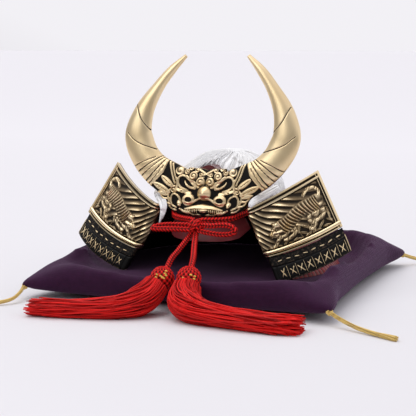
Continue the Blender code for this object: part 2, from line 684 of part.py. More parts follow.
def make_crest():
    """Horned crescent with the lion face in its middle, one casting with a flat back."""
    front = spread(12, -1.0, 1.0)
    ring = [("front", q) for q in front] + [("back", q) for q in (1.0, 0.0, -1.0)]
    ring.append(ring[0])
    halves = spread(13, 0.0, 4 / 12) + spread(11, 4 / 12, 1.0)[1:]
    stations = [-c for c in reversed(halves)] + halves[1:]

    def point(turn, c):
        kind, q = ring[round(turn * (len(ring) - 1))]
        here, tangent = crest_row(c)
        half = here[2] * CREST_HALF_SPREAD
        x = here[0] * CREST_HALF_SPREAD + tangent.y * half * q
        z = CREST_FOOT_Z + here[1] * CREST_HEIGHT - tangent.x * half * q
        side = -1.0 if c < 0 else 1.0
        back = crest_ground(z)
        if kind == "back":
            return side * x, back, z
        plate = math.sqrt(max(0.0, 1.0 - abs(q) ** 8))
        horn = math.sqrt(max(0.0, 1.0 - q * q))
        body = plate + (horn - plate) * here[4]
        edge = 0.75 + (0.22 - 0.75) * here[4]
        thick = here[3] * CREST_THICK * (edge + (1.0 - edge) * body)
        relief = face_relief(x, z) * max(0.0, 1.0 - here[4] * 1.5) * plate
        return side * x, back - thick - relief, z

    lofted("crest", len(ring) - 1, stations, point, brass("crest brass"), sharp_angle=35.0)


def make_holder():
    """Lacquered block that fills the way from the bowl's front to the crest's back."""
    foot = BOWL_RIM_Z + 2.0 * VISOR_WALL

    def place(u, v):
        x = u * HOLDER_HALF_WIDTH
        return x, foot + HOLDER_HEIGHT * v * (1.0 - 0.16 * u * u)

    def front(u, v):
        x, z = place(u, v)
        return x, crest_ground(z) + GAP, z

    def rear(u, v):
        x, z = place(u, v)
        return x, bowl_front(x, z, GAP), z

    shell("crest_holder", spread(6, -1.0, 1.0), spread(6), front, rear,
          lacquer("holder lacquer", RED_LACQUER))


def hair_hem(theta):
    """Level of the hair's lower edge round the bowl, high over the crest holder and jagged in locks."""
    from_front = abs(math.degrees(math.atan2(math.cos(theta), -math.sin(theta))))
    low = 2.0 / math.pi * math.asin((HAIR_HEM_RISE / BOWL_RISE) ** (BOWL_SQUARENESS / 2.0))
    jag = 0.035 * (1.0 - math.cos(HAIR_LOCKS * theta))
    return low + jag + (HAIR_FRONT_LEVEL - low) * (1.0 - smoothstep(*HAIR_FRONT_FALL, from_front))


def hair_point(face):
    """Point function of the hair: t from its hem to the top of the bowl."""
    def point(theta, t):
        hem = hair_hem(theta)
        level = hem + (1.0 - hem) * t
        grow = HAIR_STANDOFF
        if face == "outer":
            lock = 0.80 + 0.20 * abs(math.cos(HAIR_LOCKS * theta / 2.0)) * (1.0 - t)
            grow += HAIR_THICK * lock * (0.45 + 0.55 * smoothstep(0.0, 0.18, t))
        x, y, z = bowl_point(theta, level, grow)
        if face == "outer":
            y = max(y, crest_ground(z) + 2.0 * GAP)
        return x, y, z
    return point


def make_hair():
    """Locks of white hair over the bowl, with a pointed lock that falls before each cheek plate."""
    look = thread("white hair", (0.86, 0.85, 0.86))
    up_hair = [0.0, 0.11, 0.24, 0.38, 0.54, 0.70, 0.85, 1.0]
    hair = shell("hair", spread(2 * HAIR_LOCKS, 0.0, 2 * math.pi), up_hair, hair_point("outer"),
                 hair_point("inner"), look, rims=("v0",), sharp_angle=80.0)
    for hand, tip_drop in ((-1, LOCK_DROP_LEFT), (1, LOCK_DROP_RIGHT)):
        corner = wing_corner(0.0, 0) * np.array([hand, 1.0, 1.0])
        root = bowl_point(-math.pi / 2 + hand * LOCK_ROOT_TURN, LOCK_ROOT_LEVEL,
                          HAIR_STANDOFF + 0.5 * HAIR_THICK)
        thick = LOCK_THICK / 2
        rows = [np.array([*root, 1.5 * thick, 1.5 * thick])]
        for _, outward, backward, upward, size in LOCK_WAY:
            place = corner + np.array([hand * outward, backward, upward]) * LOCK_THICK
            rows.append(np.array([*place, thick * size, thick * size]))
        rows[-1][2] -= tip_drop
        lock = lofted(f"lock {hand}", 8, spread(10), bar_ring(rows), look)
        join = hair.modifiers.new("join lock", "BOOLEAN")
        join.operation = "UNION"
        join.object = lock
        lock.hide_render = True
        lock.display_type = "WIRE"


def cord(name, route, look):
    """Round braided cord along a route in metres."""
    points = evenly(route, 2.4 * CORD_DIAMETER)
    curve = bpy.data.curves.new(name, "CURVE")
    curve.dimensions = "3D"
    curve.bevel_depth = CORD_DIAMETER / 2
    curve.bevel_resolution = 2
    curve.use_fill_caps = True
    curve.render_resolution_u = 0
    spline = curve.splines.new("POLY")
    spline.points.add(len(points) - 1)
    for target, point in zip(spline.points, points):
        target.co = (*point[:3], 1.0)
    curve.materials.append(look)
    piece = bpy.data.objects.new(name, curve)
    bpy.context.scene.collection.objects.link(piece)
    return piece


def ball(name, centre, size, look, around=14, rings=9):
    """Round ball, or an egg of given half sizes."""
    builder = bmesh.new()
    bmesh.ops.create_uvsphere(builder, u_segments=around, v_segments=rings, radius=1.0)
    bmesh.ops.scale(builder, verts=builder.verts, vec=size)
    bmesh.ops.translate(builder, verts=builder.verts, vec=centre)
    return new_piece(name, builder, look, sharp_angle=80.0)


def make_cord():
    """Chin cord tied in a bow before the visor, its two tails and their tassels."""
    red = thread("red braid", RED_THREAD)
    left_half = hung(CHIN_CORD_ROUTE)
    cord("chin_cord", left_half + mirrored(left_half)[1:], red)
    cord("bow_loop_left", hung(BOW_LOOP_LEFT_ROUTE), red)
    cord("bow_loop_right", hung(BOW_LOOP_RIGHT_ROUTE), red)
    knot_centre = Vector(hung([BOW_KNOT_CENTRE])[0])
    ball("bow_knot", knot_centre, (KNOT_WIDTH / 2, KNOT_DEPTH / 2, KNOT_HEIGHT / 2), red)
    radius = TASSEL_HEAD_DIAMETER / 2
    for word, centre, tail, skirt in (
            ("left", TASSEL_HEAD_LEFT, CORD_TAIL_LEFT_ROUTE, SKIRT_LEFT_ROUTE),
            ("right", TASSEL_HEAD_RIGHT, CORD_TAIL_RIGHT_ROUTE, SKIRT_RIGHT_ROUTE)):
        middle = hung([centre])[0]
        route = hung(tail)
        inward = (route[-1] - middle) / np.linalg.norm(route[-1] - middle)
        cord(f"cord_tail_{word}", route + [middle + inward * (radius + GAP)], red)
        ball(f"tassel_head_{word}", Vector(middle), (radius, radius, radius), red)
        rows = in_metres(skirt)
        outward = (rows[0][:3] - middle) / np.linalg.norm(rows[0][:3] - middle)
        neck = np.array([*(middle + outward * (radius + GAP)), 0.40 * SKIRT_WIDTH, 0.36 * SKIRT_WIDTH])
        lofted(f"tassel_skirt_{word}", 3 * SKIRT_LOCKS, spread(16),
               bar_ring([neck, *rows], lobes=SKIRT_LOCKS, lobe_depth=0.06), red, sharp_angle=70.0)


def main():
    """Clear the scene and build every piece."""
    for old in list(bpy.data.objects):
        bpy.data.objects.remove(old)
    make_cushion()
    make_corner_tassels()
    make_bowl()
    make_visor()
    make_wings()
    make_lames()
    make_crest()
    make_holder()
    make_hair()
    make_cord()


main()
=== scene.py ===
"""Looks of a miniature kabuto helmet with a horned lion-face crest, tied on a purple cushion."""

import json
import logging
import math
from dataclasses import dataclass, field
from enum import Enum
from typing import Callable, Iterator

import bmesh
import bpy
import numpy as np
from mathutils import Matrix, Vector

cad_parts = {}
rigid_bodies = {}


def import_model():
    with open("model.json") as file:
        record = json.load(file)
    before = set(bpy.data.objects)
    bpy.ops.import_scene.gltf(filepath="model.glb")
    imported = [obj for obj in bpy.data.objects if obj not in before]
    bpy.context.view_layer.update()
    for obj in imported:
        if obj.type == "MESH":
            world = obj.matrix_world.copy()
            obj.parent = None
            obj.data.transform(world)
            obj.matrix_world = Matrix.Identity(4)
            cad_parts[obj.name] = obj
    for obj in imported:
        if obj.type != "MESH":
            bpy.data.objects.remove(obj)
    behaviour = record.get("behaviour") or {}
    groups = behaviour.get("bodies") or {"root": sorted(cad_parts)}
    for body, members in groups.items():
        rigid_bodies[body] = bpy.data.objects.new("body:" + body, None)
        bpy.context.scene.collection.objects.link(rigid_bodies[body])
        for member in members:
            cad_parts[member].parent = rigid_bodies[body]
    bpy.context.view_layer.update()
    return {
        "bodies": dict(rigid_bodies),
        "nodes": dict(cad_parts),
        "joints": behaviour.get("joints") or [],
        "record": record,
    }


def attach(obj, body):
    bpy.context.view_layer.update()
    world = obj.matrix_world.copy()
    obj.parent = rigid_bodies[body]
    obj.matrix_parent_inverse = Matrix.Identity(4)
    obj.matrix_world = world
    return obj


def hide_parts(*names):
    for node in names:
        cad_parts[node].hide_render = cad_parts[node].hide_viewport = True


LOG = logging.getLogger("kabuto")
Array = np.ndarray
MM = 0.001
BODY = "root"


class Side(Enum):
    """Hand of a piece that comes in a pair, as the viewer sees it."""

    LEFT = -1
    RIGHT = 1

    @property
    def word(self) -> str:
        """Word for node names."""
        return self.name.lower()


class Cut(Enum):
    """Section of a stroke of the relief."""

    ROUND = "round"
    FLAT = "flat"
    GROOVE = "groove"


class Slot(Enum):
    """Material slots of the record, passed with each piece."""

    CUSHION = "purple_fabric"
    YELLOW = "yellow_thread"
    BLACK_LACQUER = "black_lacquer"
    BRASS = "antique_brass"
    CORD = "red_cord"
    HAIR = "white_hair"


def curve_at(rows: Array, t: Array) -> Array:
    """Values of a smooth curve through rows.

    Args:
        rows: One row for each knot of the curve, with any number of columns.
        t: Places along the curve from 0 to 1.

    Returns:
        One row for each place.
    """
    spans = len(rows) - 1
    place = np.clip(t, 0.0, 1.0) * spans
    i = np.minimum(place.astype(int), spans - 1)
    f = (place - i)[:, None]
    padded = np.vstack([2 * rows[0] - rows[1], rows, 2 * rows[-1] - rows[-2]])
    before, here, after, beyond = (padded[i + k] for k in range(4))
    return 0.5 * (2 * here + (after - before) * f
                  + (2 * before - 5 * here + 4 * after - beyond) * f ** 2
                  + (3 * here - before - 3 * after + beyond) * f ** 3)


def evenly(rows: Array, spacing: float) -> Array:
    """Rows of the smooth curve about one spacing apart along its first three columns.

    Args:
        rows: Knots of the curve in metres.
        spacing: Distance wanted between rows.

    Returns:
        The finer rows.
    """
    fine = curve_at(rows, np.linspace(0.0, 1.0, 1601))
    travelled = np.concatenate([[0.0], np.cumsum(np.linalg.norm(np.diff(fine[:, :3], axis=0), axis=1))])
    places = np.linspace(0.0, travelled[-1], max(4, round(travelled[-1] / spacing) + 1))
    return np.column_stack([np.interp(places, travelled, column) for column in fine.T])


def joined(*spans: tuple[float, float, int]) -> Array:
    """Even values over spans that meet, with each shared value once."""
    return np.concatenate([[spans[0][0]], *(np.linspace(*span)[1:] for span in spans)])


def length_of(points: Array) -> float:
    """Length of a line of points."""
    return float(np.linalg.norm(np.diff(points[:, :3], axis=0), axis=1).sum())


def smoothstep(low: float, high: float, value: Array) -> Array:
    """0 below low, 1 above high and a smooth step between them."""
    share = np.clip((np.asarray(value, dtype=float) - low) / (high - low), 0.0, 1.0)
    return share * share * (3.0 - 2.0 * share)


def unit(vectors: Array) -> Array:
    """Vectors of length one."""
    return vectors / np.maximum(np.linalg.norm(vectors, axis=-1, keepdims=True), 1e-12)


def sideways(ahead: Array, up: Array | tuple[float, float, float]) -> tuple[Array, Array]:
    """Two directions across a line, from its own direction and one that isn't along it.

    Args:
        ahead: Directions of the line.
        up: The other direction.

    Returns:
        Directions to the side and above.
    """
    side = unit(np.cross(ahead, up))
    return side, np.cross(side, ahead)


def grid_points(builder: bmesh.types.BMesh, columns: int, rows: int) -> Iterator[tuple[object, int, int]]:
    """Points of a new grid in a builder.

    Args:
        builder: The bmesh.
        columns: Cells across.
        rows: Cells up.

    Returns:
        Each point with its column and row.
    """
    for vert in bmesh.ops.create_grid(builder, x_segments=columns, y_segments=rows, size=0.5)["verts"]:
        yield vert, round((vert.co.x + 0.5) * columns), round((vert.co.y + 0.5) * rows)


def mesh_of(name: str, builder: bmesh.types.BMesh) -> bpy.types.Mesh:
    """Mesh of a builder as it stands.

    Args:
        name: Name of the mesh.
        builder: The bmesh, which is freed.

    Returns:
        The mesh.
    """
    mesh = bpy.data.meshes.new(name)
    builder.to_mesh(mesh)
    builder.free()
    return mesh


def points_of(mesh: bpy.types.Mesh) -> Array:
    """Points of a mesh.

    Args:
        mesh: The mesh.

    Returns:
        One row for each point.
    """
    flat = np.empty(3 * len(mesh.vertices))
    mesh.vertices.foreach_get("co", flat)
    return flat.reshape(-1, 3)


def set_points(mesh: bpy.types.Mesh, points: Array) -> None:
    """Move the points of a mesh to new places."""
    mesh.vertices.foreach_set("co", points.astype(np.float32).ravel())
    mesh.update()


def set_height(mesh: bpy.types.Mesh, values: Array) -> None:
    """Give each point its value of the attribute "height", which the finishes read."""
    mesh.attributes.new("height", "FLOAT", "POINT").data.foreach_set("value", values.astype(np.float32))


def in_scene(name: str, data: bpy.types.ID) -> bpy.types.Object:
    """New object of the scene.

    Args:
        name: Name of the object.
        data: Its mesh, lamp or camera.

    Returns:
        The object.
    """
    made = bpy.data.objects.new(name, data)
    bpy.context.scene.collection.objects.link(made)
    return made


def hand_mesh(name: str, builder: bmesh.types.BMesh, sharp: float | None = None) -> bpy.types.Mesh:
    """Mesh of a finished builder, smooth, closed and with its faces turned out.

    Args:
        name: Name of the mesh.
        builder: The bmesh, which is freed.
        sharp: Angle in degrees above which an edge stays sharp, if any.

    Returns:
        The mesh.
    """
    bmesh.ops.remove_doubles(builder, verts=builder.verts, dist=1e-7)
    open_edges = [edge for edge in builder.edges if edge.is_boundary]
    if open_edges:
        bmesh.ops.holes_fill(builder, edges=open_edges, sides=0)
    bmesh.ops.recalc_face_normals(builder, faces=builder.faces)
    if builder.calc_volume(signed=True) < 0.0:
        bmesh.ops.reverse_faces(builder, faces=builder.faces)
    mesh = mesh_of(name, builder)
    mesh.shade_smooth()
    if sharp is not None:
        mesh.set_sharp_from_angle(angle=math.radians(sharp))
    return mesh


def loft(name: str, ring: Array, stations: Array, place: Callable[[Array, Array], tuple[Array, Array]],
         sharp: float | None = None) -> bpy.types.Mesh:
    """Closed bar or plate whose section at each station is a closed ring.

    Args:
        name: Name of the mesh.
        ring: Values round the section, whose first and last give the same points.
        stations: Values along the piece.
        place: Gives the points and their height attribute for ring values and stations.
        sharp: Angle in degrees above which an edge stays sharp, if any.

    Returns:
        The mesh, with the attribute "height" on its points.
    """
    builder = bmesh.new()
    bmesh.ops.create_grid(builder, x_segments=len(ring) - 1, y_segments=len(stations) - 1, size=0.5)
    mesh = mesh_of(name, builder)
    grid = points_of(mesh) + 0.5
    i = np.rint(grid[:, 0] * (len(ring) - 1)).astype(int)
    j = np.rint(grid[:, 1] * (len(stations) - 1)).astype(int)
    points, height = place(np.asarray(ring)[i], np.asarray(stations)[j])
    set_points(mesh, points)
    set_height(mesh, height)
    builder = bmesh.new()
    builder.from_mesh(mesh)
    bpy.data.meshes.remove(mesh)
    return hand_mesh(name, builder, sharp)


def tube_frames(points: Array) -> tuple[Array, Array]:
    """Two directions across a line of points, carried along it without a twist.

    Args:
        points: The line, in metres.

    Returns:
        The side and the upward direction at each point.
    """
    ahead = unit(np.gradient(points, axis=0))
    side = np.empty_like(points)
    start = np.cross(ahead[0], (0.0, 0.0, 1.0))
    side[0] = unit(start if np.linalg.norm(start) > 0.05 else np.cross(ahead[0], (1.0, 0.0, 0.0)))
    for i in range(1, len(points)):
        side[i] = unit(side[i - 1] - ahead[i] * np.dot(side[i - 1], ahead[i]))
    return side, np.cross(side, ahead)


def bundle(name: str, paths: Array, radii: Array, shades: Array, sides: int = 4) -> bpy.types.Mesh:
    """Many thin threads in one mesh.

    Args:
        name: Name of the mesh.
        paths: Threads by stations by x, y and z.
        radii: Threads by stations, the radius of each thread.
        shades: One shade for each thread, kept as the attribute "height".
        sides: Sides of a thread's section.

    Returns:
        The mesh.
    """
    count, stations = paths.shape[:2]
    builder = bmesh.new()
    for vert, column, row in grid_points(builder, sides, stations - 1):
        angle = 2 * math.pi * column / sides
        vert.co = (math.cos(angle), math.sin(angle), row)
    template = hand_mesh(name + " thread", builder)
    builder = bmesh.new()
    for _ in range(count):
        builder.from_mesh(template)
    mesh = mesh_of(name, builder)
    plain = points_of(mesh)
    thread = np.arange(len(plain)) // len(template.vertices)
    bpy.data.meshes.remove(template)
    station = np.rint(plain[:, 2]).astype(int)
    side, above = sideways(unit(np.gradient(paths, axis=1)), (0.31, 0.22, 0.92))
    set_points(mesh, paths[thread, station] + radii[thread, station, None] * (
        side[thread, station] * plain[:, 0:1] + above[thread, station] * plain[:, 1:2]))
    set_height(mesh, shades[thread])
    mesh.shade_smooth()
    return mesh


def put(name: str, mesh: bpy.types.Mesh, look: bpy.types.Material, slot: Slot,
        *nodes: str) -> bpy.types.Object:
    """Piece of the object made from a mesh.

    Args:
        name: Name of the piece.
        mesh: Its mesh, in the frame of the CAD.
        look: Its material.
        slot: The record's material slot for the piece; not used.
        nodes: CAD nodes that it stands for.

    Returns:
        The piece's object.
    """
    mesh.materials.clear()
    mesh.materials.append(look)
    piece = in_scene(name, mesh)
    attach(piece, BODY)
    if nodes:
        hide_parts(*nodes)
    LOG.info("%s: %d points", name, len(mesh.vertices))
    return piece


@dataclass(frozen=True)
class Stroke:
    """One cut or raised line of a relief, in millimetres on its plane."""

    points: tuple[tuple[float, float], ...]
    width: float
    height: float = 1.0
    end: float | None = None
    cut: Cut = Cut.FLAT
    leaf: bool = False

    def field(self, at: Array) -> tuple[Array, Array]:
        """Distance to the stroke's middle line and the share of the way along it.

        Args:
            at: Places on the plane, two columns.

        Returns:
            Distances and shares.
        """
        line = np.array(self.points, dtype=float)
        if len(line) > 2:
            line = curve_at(line, np.linspace(0.0, 1.0, 4 * len(line)))
        best = np.full(len(at), 1e9)
        share = np.zeros(len(at))
        for i in range(len(line) - 1):
            way = line[i + 1] - line[i]
            off = at - line[i]
            along = np.clip(off @ way / max(float(way @ way), 1e-12), 0.0, 1.0)
            distance = np.linalg.norm(off - along[:, None] * way, axis=1)
            nearer = distance < best
            best = np.where(nearer, distance, best)
            share = np.where(nearer, (i + along) / (len(line) - 1), share)
        return best, share

    def cover(self, at: Array) -> Array:
        """How far inside the stroke each place is.

        Args:
            at: Places on the plane, two columns.

        Returns:
            0 at the stroke's edge and outside it, 1 at its middle.
        """
        distance, share = self.field(at)
        width = self.width + ((self.width if self.end is None else self.end) - self.width) * share
        if self.leaf:
            width = width * np.sqrt(np.clip(np.sin(math.pi * (0.08 + 0.92 * share)), 0.0, 1.0)) + 0.05
        return np.clip(1.0 - distance / width, 0.0, 1.0)

    def carve(self, at: Array, height: Array) -> Array:
        """Relief after this stroke.

        Args:
            at: Places on the plane.
            height: Relief before it.

        Returns:
            The new relief.
        """
        cover = self.cover(at)
        if self.cut is Cut.GROOVE:
            return height * (1.0 - self.height * smoothstep(0.0, 0.7, cover))
        if self.cut is Cut.ROUND:
            return np.maximum(height, self.height * np.sqrt(1.0 - (1.0 - cover) ** 2))
        return np.maximum(height, self.height * smoothstep(0.0, 0.45, cover))


@dataclass(frozen=True)
class Curl:
    """Spiral boss of a relief, in millimetres on its plane."""

    x: float
    y: float
    radius: float
    turns: float = 1.6

    def carve(self, at: Array, height: Array) -> Array:
        """Relief after this curl.

        Args:
            at: Places on the plane.
            height: Relief before it.

        Returns:
            The new relief.
        """
        off = at - np.array([self.x, self.y])
        distance = np.linalg.norm(off, axis=1) / self.radius
        angle = np.arctan2(off[:, 1], off[:, 0])
        rings = 0.62 + 0.38 * np.cos(2 * math.pi * self.turns * distance - angle)
        rim = smoothstep(0.0, 0.25, 1.0 - distance)
        return np.where(distance < 1.0, np.maximum(rings * rim, height * (1.0 - rim)), height)


class Brush:
    """Adds and joins the nodes of one material."""

    def __init__(self, name: str) -> None:
        """Start a material with its Principled shader.

        Args:
            name: Name of the material.
        """
        self.material = bpy.data.materials.new(name)
        self.material.use_nodes = True
        self.tree = self.material.node_tree
        self.shader = self.tree.nodes["Principled BSDF"]
        self.place = self.add("ShaderNodeTexCoord").outputs["Object"]

    def add(self, kind: str, inputs: dict | None = None, **settings: object) -> bpy.types.Node:
        """One node with its settings and inputs.

        Args:
            kind: Blender's name of the node.
            inputs: Values or sockets by input name or number.
            settings: Properties of the node.

        Returns:
            The node.
        """
        node = self.tree.nodes.new(kind)
        for key, value in settings.items():
            setattr(node, key, value)
        self.feed(node, inputs or {})
        return node

    def feed(self, node: bpy.types.Node, inputs: dict) -> None:
        """Set or link a node's inputs.

        Args:
            node: The node.
            inputs: Values or sockets by input name or number.
        """
        for key, value in inputs.items():
            if isinstance(value, bpy.types.NodeSocket):
                self.tree.links.new(value, node.inputs[key])
            else:
                node.inputs[key].default_value = value

    def noise(self, scale: float, detail: float = 3.0,
              stretch: tuple[float, float, float] = (1, 1, 1)) -> object:
        """Noise of so many grains a metre, stretched along the axes. Returns its factor."""
        spot = self.add("ShaderNodeMapping", {"Vector": self.place, "Scale": stretch}).outputs[0]
        return self.add("ShaderNodeTexNoise", {"Vector": spot, "Scale": scale, "Detail": detail}).outputs[0]

    def height(self) -> object:
        """The mesh's own height attribute."""
        return self.add("ShaderNodeAttribute", attribute_name="height").outputs["Fac"]

    def ramp(self, factor: object, *stops: tuple[float, tuple[float, float, float]]) -> object:
        """Colour ramp.

        Args:
            factor: Socket that drives it.
            stops: Places from 0 to 1 with their colours.

        Returns:
            The colour socket.
        """
        node = self.add("ShaderNodeValToRGB", {"Fac": factor})
        elements = node.color_ramp.elements
        while len(elements) < len(stops):
            elements.new(0.5)
        for element, (place, colour) in zip(elements, stops):
            element.position = place
            element.color = (*colour, 1.0)
        return node.outputs["Color"]

    def mix(self, share: object, first: object, second: object, kind: str = "MIX") -> object:
        """Colour between two by a share from 0 to 1. Returns the colour socket."""
        return self.add("ShaderNodeMix", {0: share, 6: first, 7: second},
                        data_type="RGBA", blend_type=kind).outputs[2]

    def spread(self, factor: object, low: float, high: float, start: float = 0.0,
               stop: float = 1.0) -> object:
        """Map a factor's range from start to stop onto low to high. Returns the value."""
        return self.add("ShaderNodeMapRange", {"Value": factor, "From Min": start, "From Max": stop,
                                               "To Min": low, "To Max": high}).outputs[0]

    def sum(self, first: object, second: object, kind: str = "ADD") -> object:
        """Two values joined by a sum or another operation. Returns the value."""
        return self.add("ShaderNodeMath", {0: first, 1: second}, operation=kind).outputs[0]

    def bump(self, height: object, depth: float, strength: float = 1.0) -> None:
        """Raise the surface by a value, so deep in metres."""
        node = self.add("ShaderNodeBump", {"Height": height, "Distance": depth, "Strength": strength})
        self.tree.links.new(node.outputs[0], self.shader.inputs["Normal"])


@dataclass(frozen=True)
class CastBrass:
    """Cast brass with black patina in its ground and polish on its high parts."""

    name: str
    low: float = 0.20
    high: float = 0.62
    polish: tuple[float, float, float] = (0.86, 0.69, 0.43)
    mid: tuple[float, float, float] = (0.40, 0.31, 0.19)
    patina: tuple[float, float, float] = (0.012, 0.011, 0.010)
    gloss: float = 0.33

    def make(self) -> bpy.types.Material:
        """Build the material.

        Returns:
            The material.
        """
        brush = Brush(self.name)
        wear = brush.spread(brush.noise(420.0, 4.0), -0.07, 0.07)
        height = brush.sum(brush.height(), wear)
        middle = 0.5 * (self.low + self.high)
        colour = brush.ramp(height, (self.low, self.patina), (middle, self.mid), (self.high, self.polish))
        stain = brush.spread(brush.noise(60.0, 2.0), 0.0, 1.0, 0.35, 0.75)
        tone = brush.mix(stain, (1.0, 1.0, 1.0, 1.0), (0.93, 0.88, 0.80, 1.0))
        rough = brush.spread(height, 0.62, self.gloss, self.low, self.high)
        brush.feed(brush.shader, {
            "Base Color": brush.mix(1.0, colour, tone, "MULTIPLY"),
            "Metallic": brush.spread(height, 0.35, 1.0, self.low, middle),
            "Roughness": brush.sum(rough, brush.spread(brush.noise(900.0), -0.02, 0.02)),
            "Specular IOR Level": 0.15,
        })
        brush.bump(brush.noise(140.0, 1.0), 0.00001)
        return brush.material


@dataclass(frozen=True)
class Lacquer:
    """Glossy lacquer that is black inside as painted shade and may be ribbed in narrow plates, with painted
    shade in the rib grooves; it may show brown wear with painted highlight and reflection.
    """

    name: str
    colour: tuple[float, float, float]
    # near-black painted as shade on the faces turned in towards the helmet's axis
    painted_inner_shade: tuple[float, float, float] | None = None
    ribs: int = 0
    gloss: float = 0.16
    coat: float = 0.5
    shine: float = 0.4
    centre_y: float = 0.003
    # brown for worn raised edges, which also paints their highlight and a reflection on the band's upper
    # strip
    wear: tuple[float, float, float] | None = None

    def make(self) -> bpy.types.Material:
        """Build the material.

        Returns:
            The material.
        """
        brush = Brush(self.name)
        mottle = brush.noise(160.0, 4.0)
        deep = tuple(0.72 * channel for channel in self.colour)
        colour = brush.ramp(mottle, (0.30, deep), (0.70, self.colour))
        grain = brush.spread(brush.noise(500.0), 0.0, 0.25)
        spot = brush.add("ShaderNodeVectorMath", {0: brush.place, 1: (0.0, -self.centre_y, 0.0)}).outputs[0]
        parts = brush.add("ShaderNodeSeparateXYZ", {0: spot}).outputs
        if self.ribs:
            turn = brush.sum(parts[1], parts[0], "ARCTAN2")
            wave = brush.add("ShaderNodeMath", {0: brush.sum(turn, self.ribs / 2.0, "MULTIPLY")},
                             operation="SINE").outputs[0]
            groove = brush.sum(brush.sum(wave, wave, "MULTIPLY"), 0.22, "POWER")
            grain = brush.sum(groove, grain)
            # painted shade: the colour darkens to near-black in the grooves between the ribs, which are only
            # a bump
            colour = brush.mix(brush.spread(groove, 1.0, 0.0, 0.35, 0.8), colour, (0.02, 0.004, 0.004, 1.0))
        # brown where the height attribute is high: wear and painted highlight on raised edges, painted
        # reflection on the band's upper strip
        if self.wear is not None:
            wear_and_sheen_level = brush.sum(brush.height(), brush.spread(brush.noise(700.0, 4.0), -0.5, 0.5))
            colour = brush.mix(brush.spread(wear_and_sheen_level, 0.0, 0.8, 0.62, 0.95), colour, (*self.wear, 1.0))
        # painted shade: faces turned in towards the helmet's axis are coloured near-black
        if self.painted_inner_shade is not None:
            level = brush.add("ShaderNodeCombineXYZ", {0: parts[0], 1: parts[1]}).outputs[0]
            normal = brush.add("ShaderNodeTexCoord").outputs["Normal"]
            facing = brush.add("ShaderNodeVectorMath", {0: normal, 1: level}, operation="DOT_PRODUCT")
            inside = brush.sum(facing.outputs["Value"], -0.004, "LESS_THAN")
            colour = brush.mix(inside, colour, (*self.painted_inner_shade, 1.0))
        brush.feed(brush.shader, {
            "Base Color": colour, "Coat Weight": self.coat, "Coat Roughness": 0.08,
            "Specular IOR Level": self.shine,
            "Roughness": brush.spread(mottle, self.gloss, self.gloss + 0.14),
        })
        brush.bump(grain, 0.00035 if self.ribs else 0.00008)
        return brush.material


@dataclass(frozen=True)
class Silk:
    """Silky thread or braid, darker where its height attribute is low: painted shade in the gaps of braids
    and nets and inside the tassel skirts, a random tone on loose threads.
    """

    name: str
    bright: tuple[float, float, float]
    dark: tuple[float, float, float]
    rough: float = 0.55
    sheen: float = 0.35

    def make(self) -> bpy.types.Material:
        """Build the material.

        Returns:
            The material.
        """
        brush = Brush(self.name)
        shade = brush.sum(brush.height(), brush.spread(brush.noise(900.0, 2.0), -0.14, 0.14))
        middle = tuple(0.5 * (a + b) for a, b in zip(self.bright, self.dark))
        brush.feed(brush.shader, {
            "Base Color": brush.ramp(shade, (0.10, self.dark), (0.45, middle), (0.85, self.bright)),
            "Roughness": brush.spread(shade, self.rough + 0.15, self.rough),
            "Sheen Weight": self.sheen, "Sheen Roughness": 0.4,
            "Specular IOR Level": 0.20,
        })
        brush.bump(brush.noise(2600.0, 2.0), 0.00010, 0.6)
        return brush.material


@dataclass(frozen=True)
class PlumCloth:
    """Deep purple cotton crepe with a fine weave and a soft sheen."""

    name: str
    light: tuple[float, float, float] = (0.048, 0.0125, 0.044)
    dark: tuple[float, float, float] = (0.024, 0.0055, 0.023)

    def make(self) -> bpy.types.Material:
        """Build the material.

        Returns:
            The material.
        """
        brush = Brush(self.name)
        weave = None
        for axis in ("X", "Y"):
            thread = brush.add("ShaderNodeTexWave", {"Vector": brush.place, "Scale": 420.0, "Distortion": 1.2,
                                                     "Detail": 2.0, "Detail Scale": 3.0},
                               bands_direction=axis, wave_profile="SIN").outputs["Fac"]
            weave = thread if weave is None else brush.sum(weave, thread, "MULTIPLY")
        slub = brush.noise(340.0, 4.0, (1.0, 0.35, 1.0))
        cloud = brush.noise(26.0, 3.0)
        tone = brush.sum(brush.spread(cloud, -0.25, 0.25), brush.spread(slub, 0.2, 0.8))
        grain = brush.sum(brush.spread(weave, 0.0, 0.6), brush.spread(slub, 0.0, 0.6))
        brush.feed(brush.shader, {
            "Base Color": brush.ramp(tone, (0.20, self.dark), (0.80, self.light)),
            "Roughness": brush.spread(slub, 0.72, 0.90),
            "Sheen Weight": 0.21, "Sheen Roughness": 0.38, "Sheen Tint": (0.72, 0.50, 0.80, 1.0),
            "Specular IOR Level": 0.12,
        })
        brush.bump(grain, 0.00022, 0.8)
        return brush.material


@dataclass(frozen=True)
class PaleFloor:
    """Plain pale studio paper, a little brighter further back."""

    name: str
    near: tuple[float, float, float] = (0.72, 0.71, 0.735)
    far: tuple[float, float, float] = (0.812, 0.800, 0.828)

    def make(self) -> bpy.types.Material:
        """Build the material.

        Returns:
            The material.
        """
        brush = Brush(self.name)
        depth = brush.add("ShaderNodeSeparateXYZ", {0: brush.place}).outputs[1]
        fleck = brush.spread(brush.noise(40.0), -0.03, 0.03)
        fade = brush.sum(brush.spread(depth, 0.0, 1.0, -0.25, 1.1), fleck)
        brush.feed(brush.shader, {"Base Color": brush.ramp(fade, (0.0, self.near), (1.0, self.far)),
                                  "Roughness": 0.85, "Specular IOR Level": 0.2})
        return brush.material


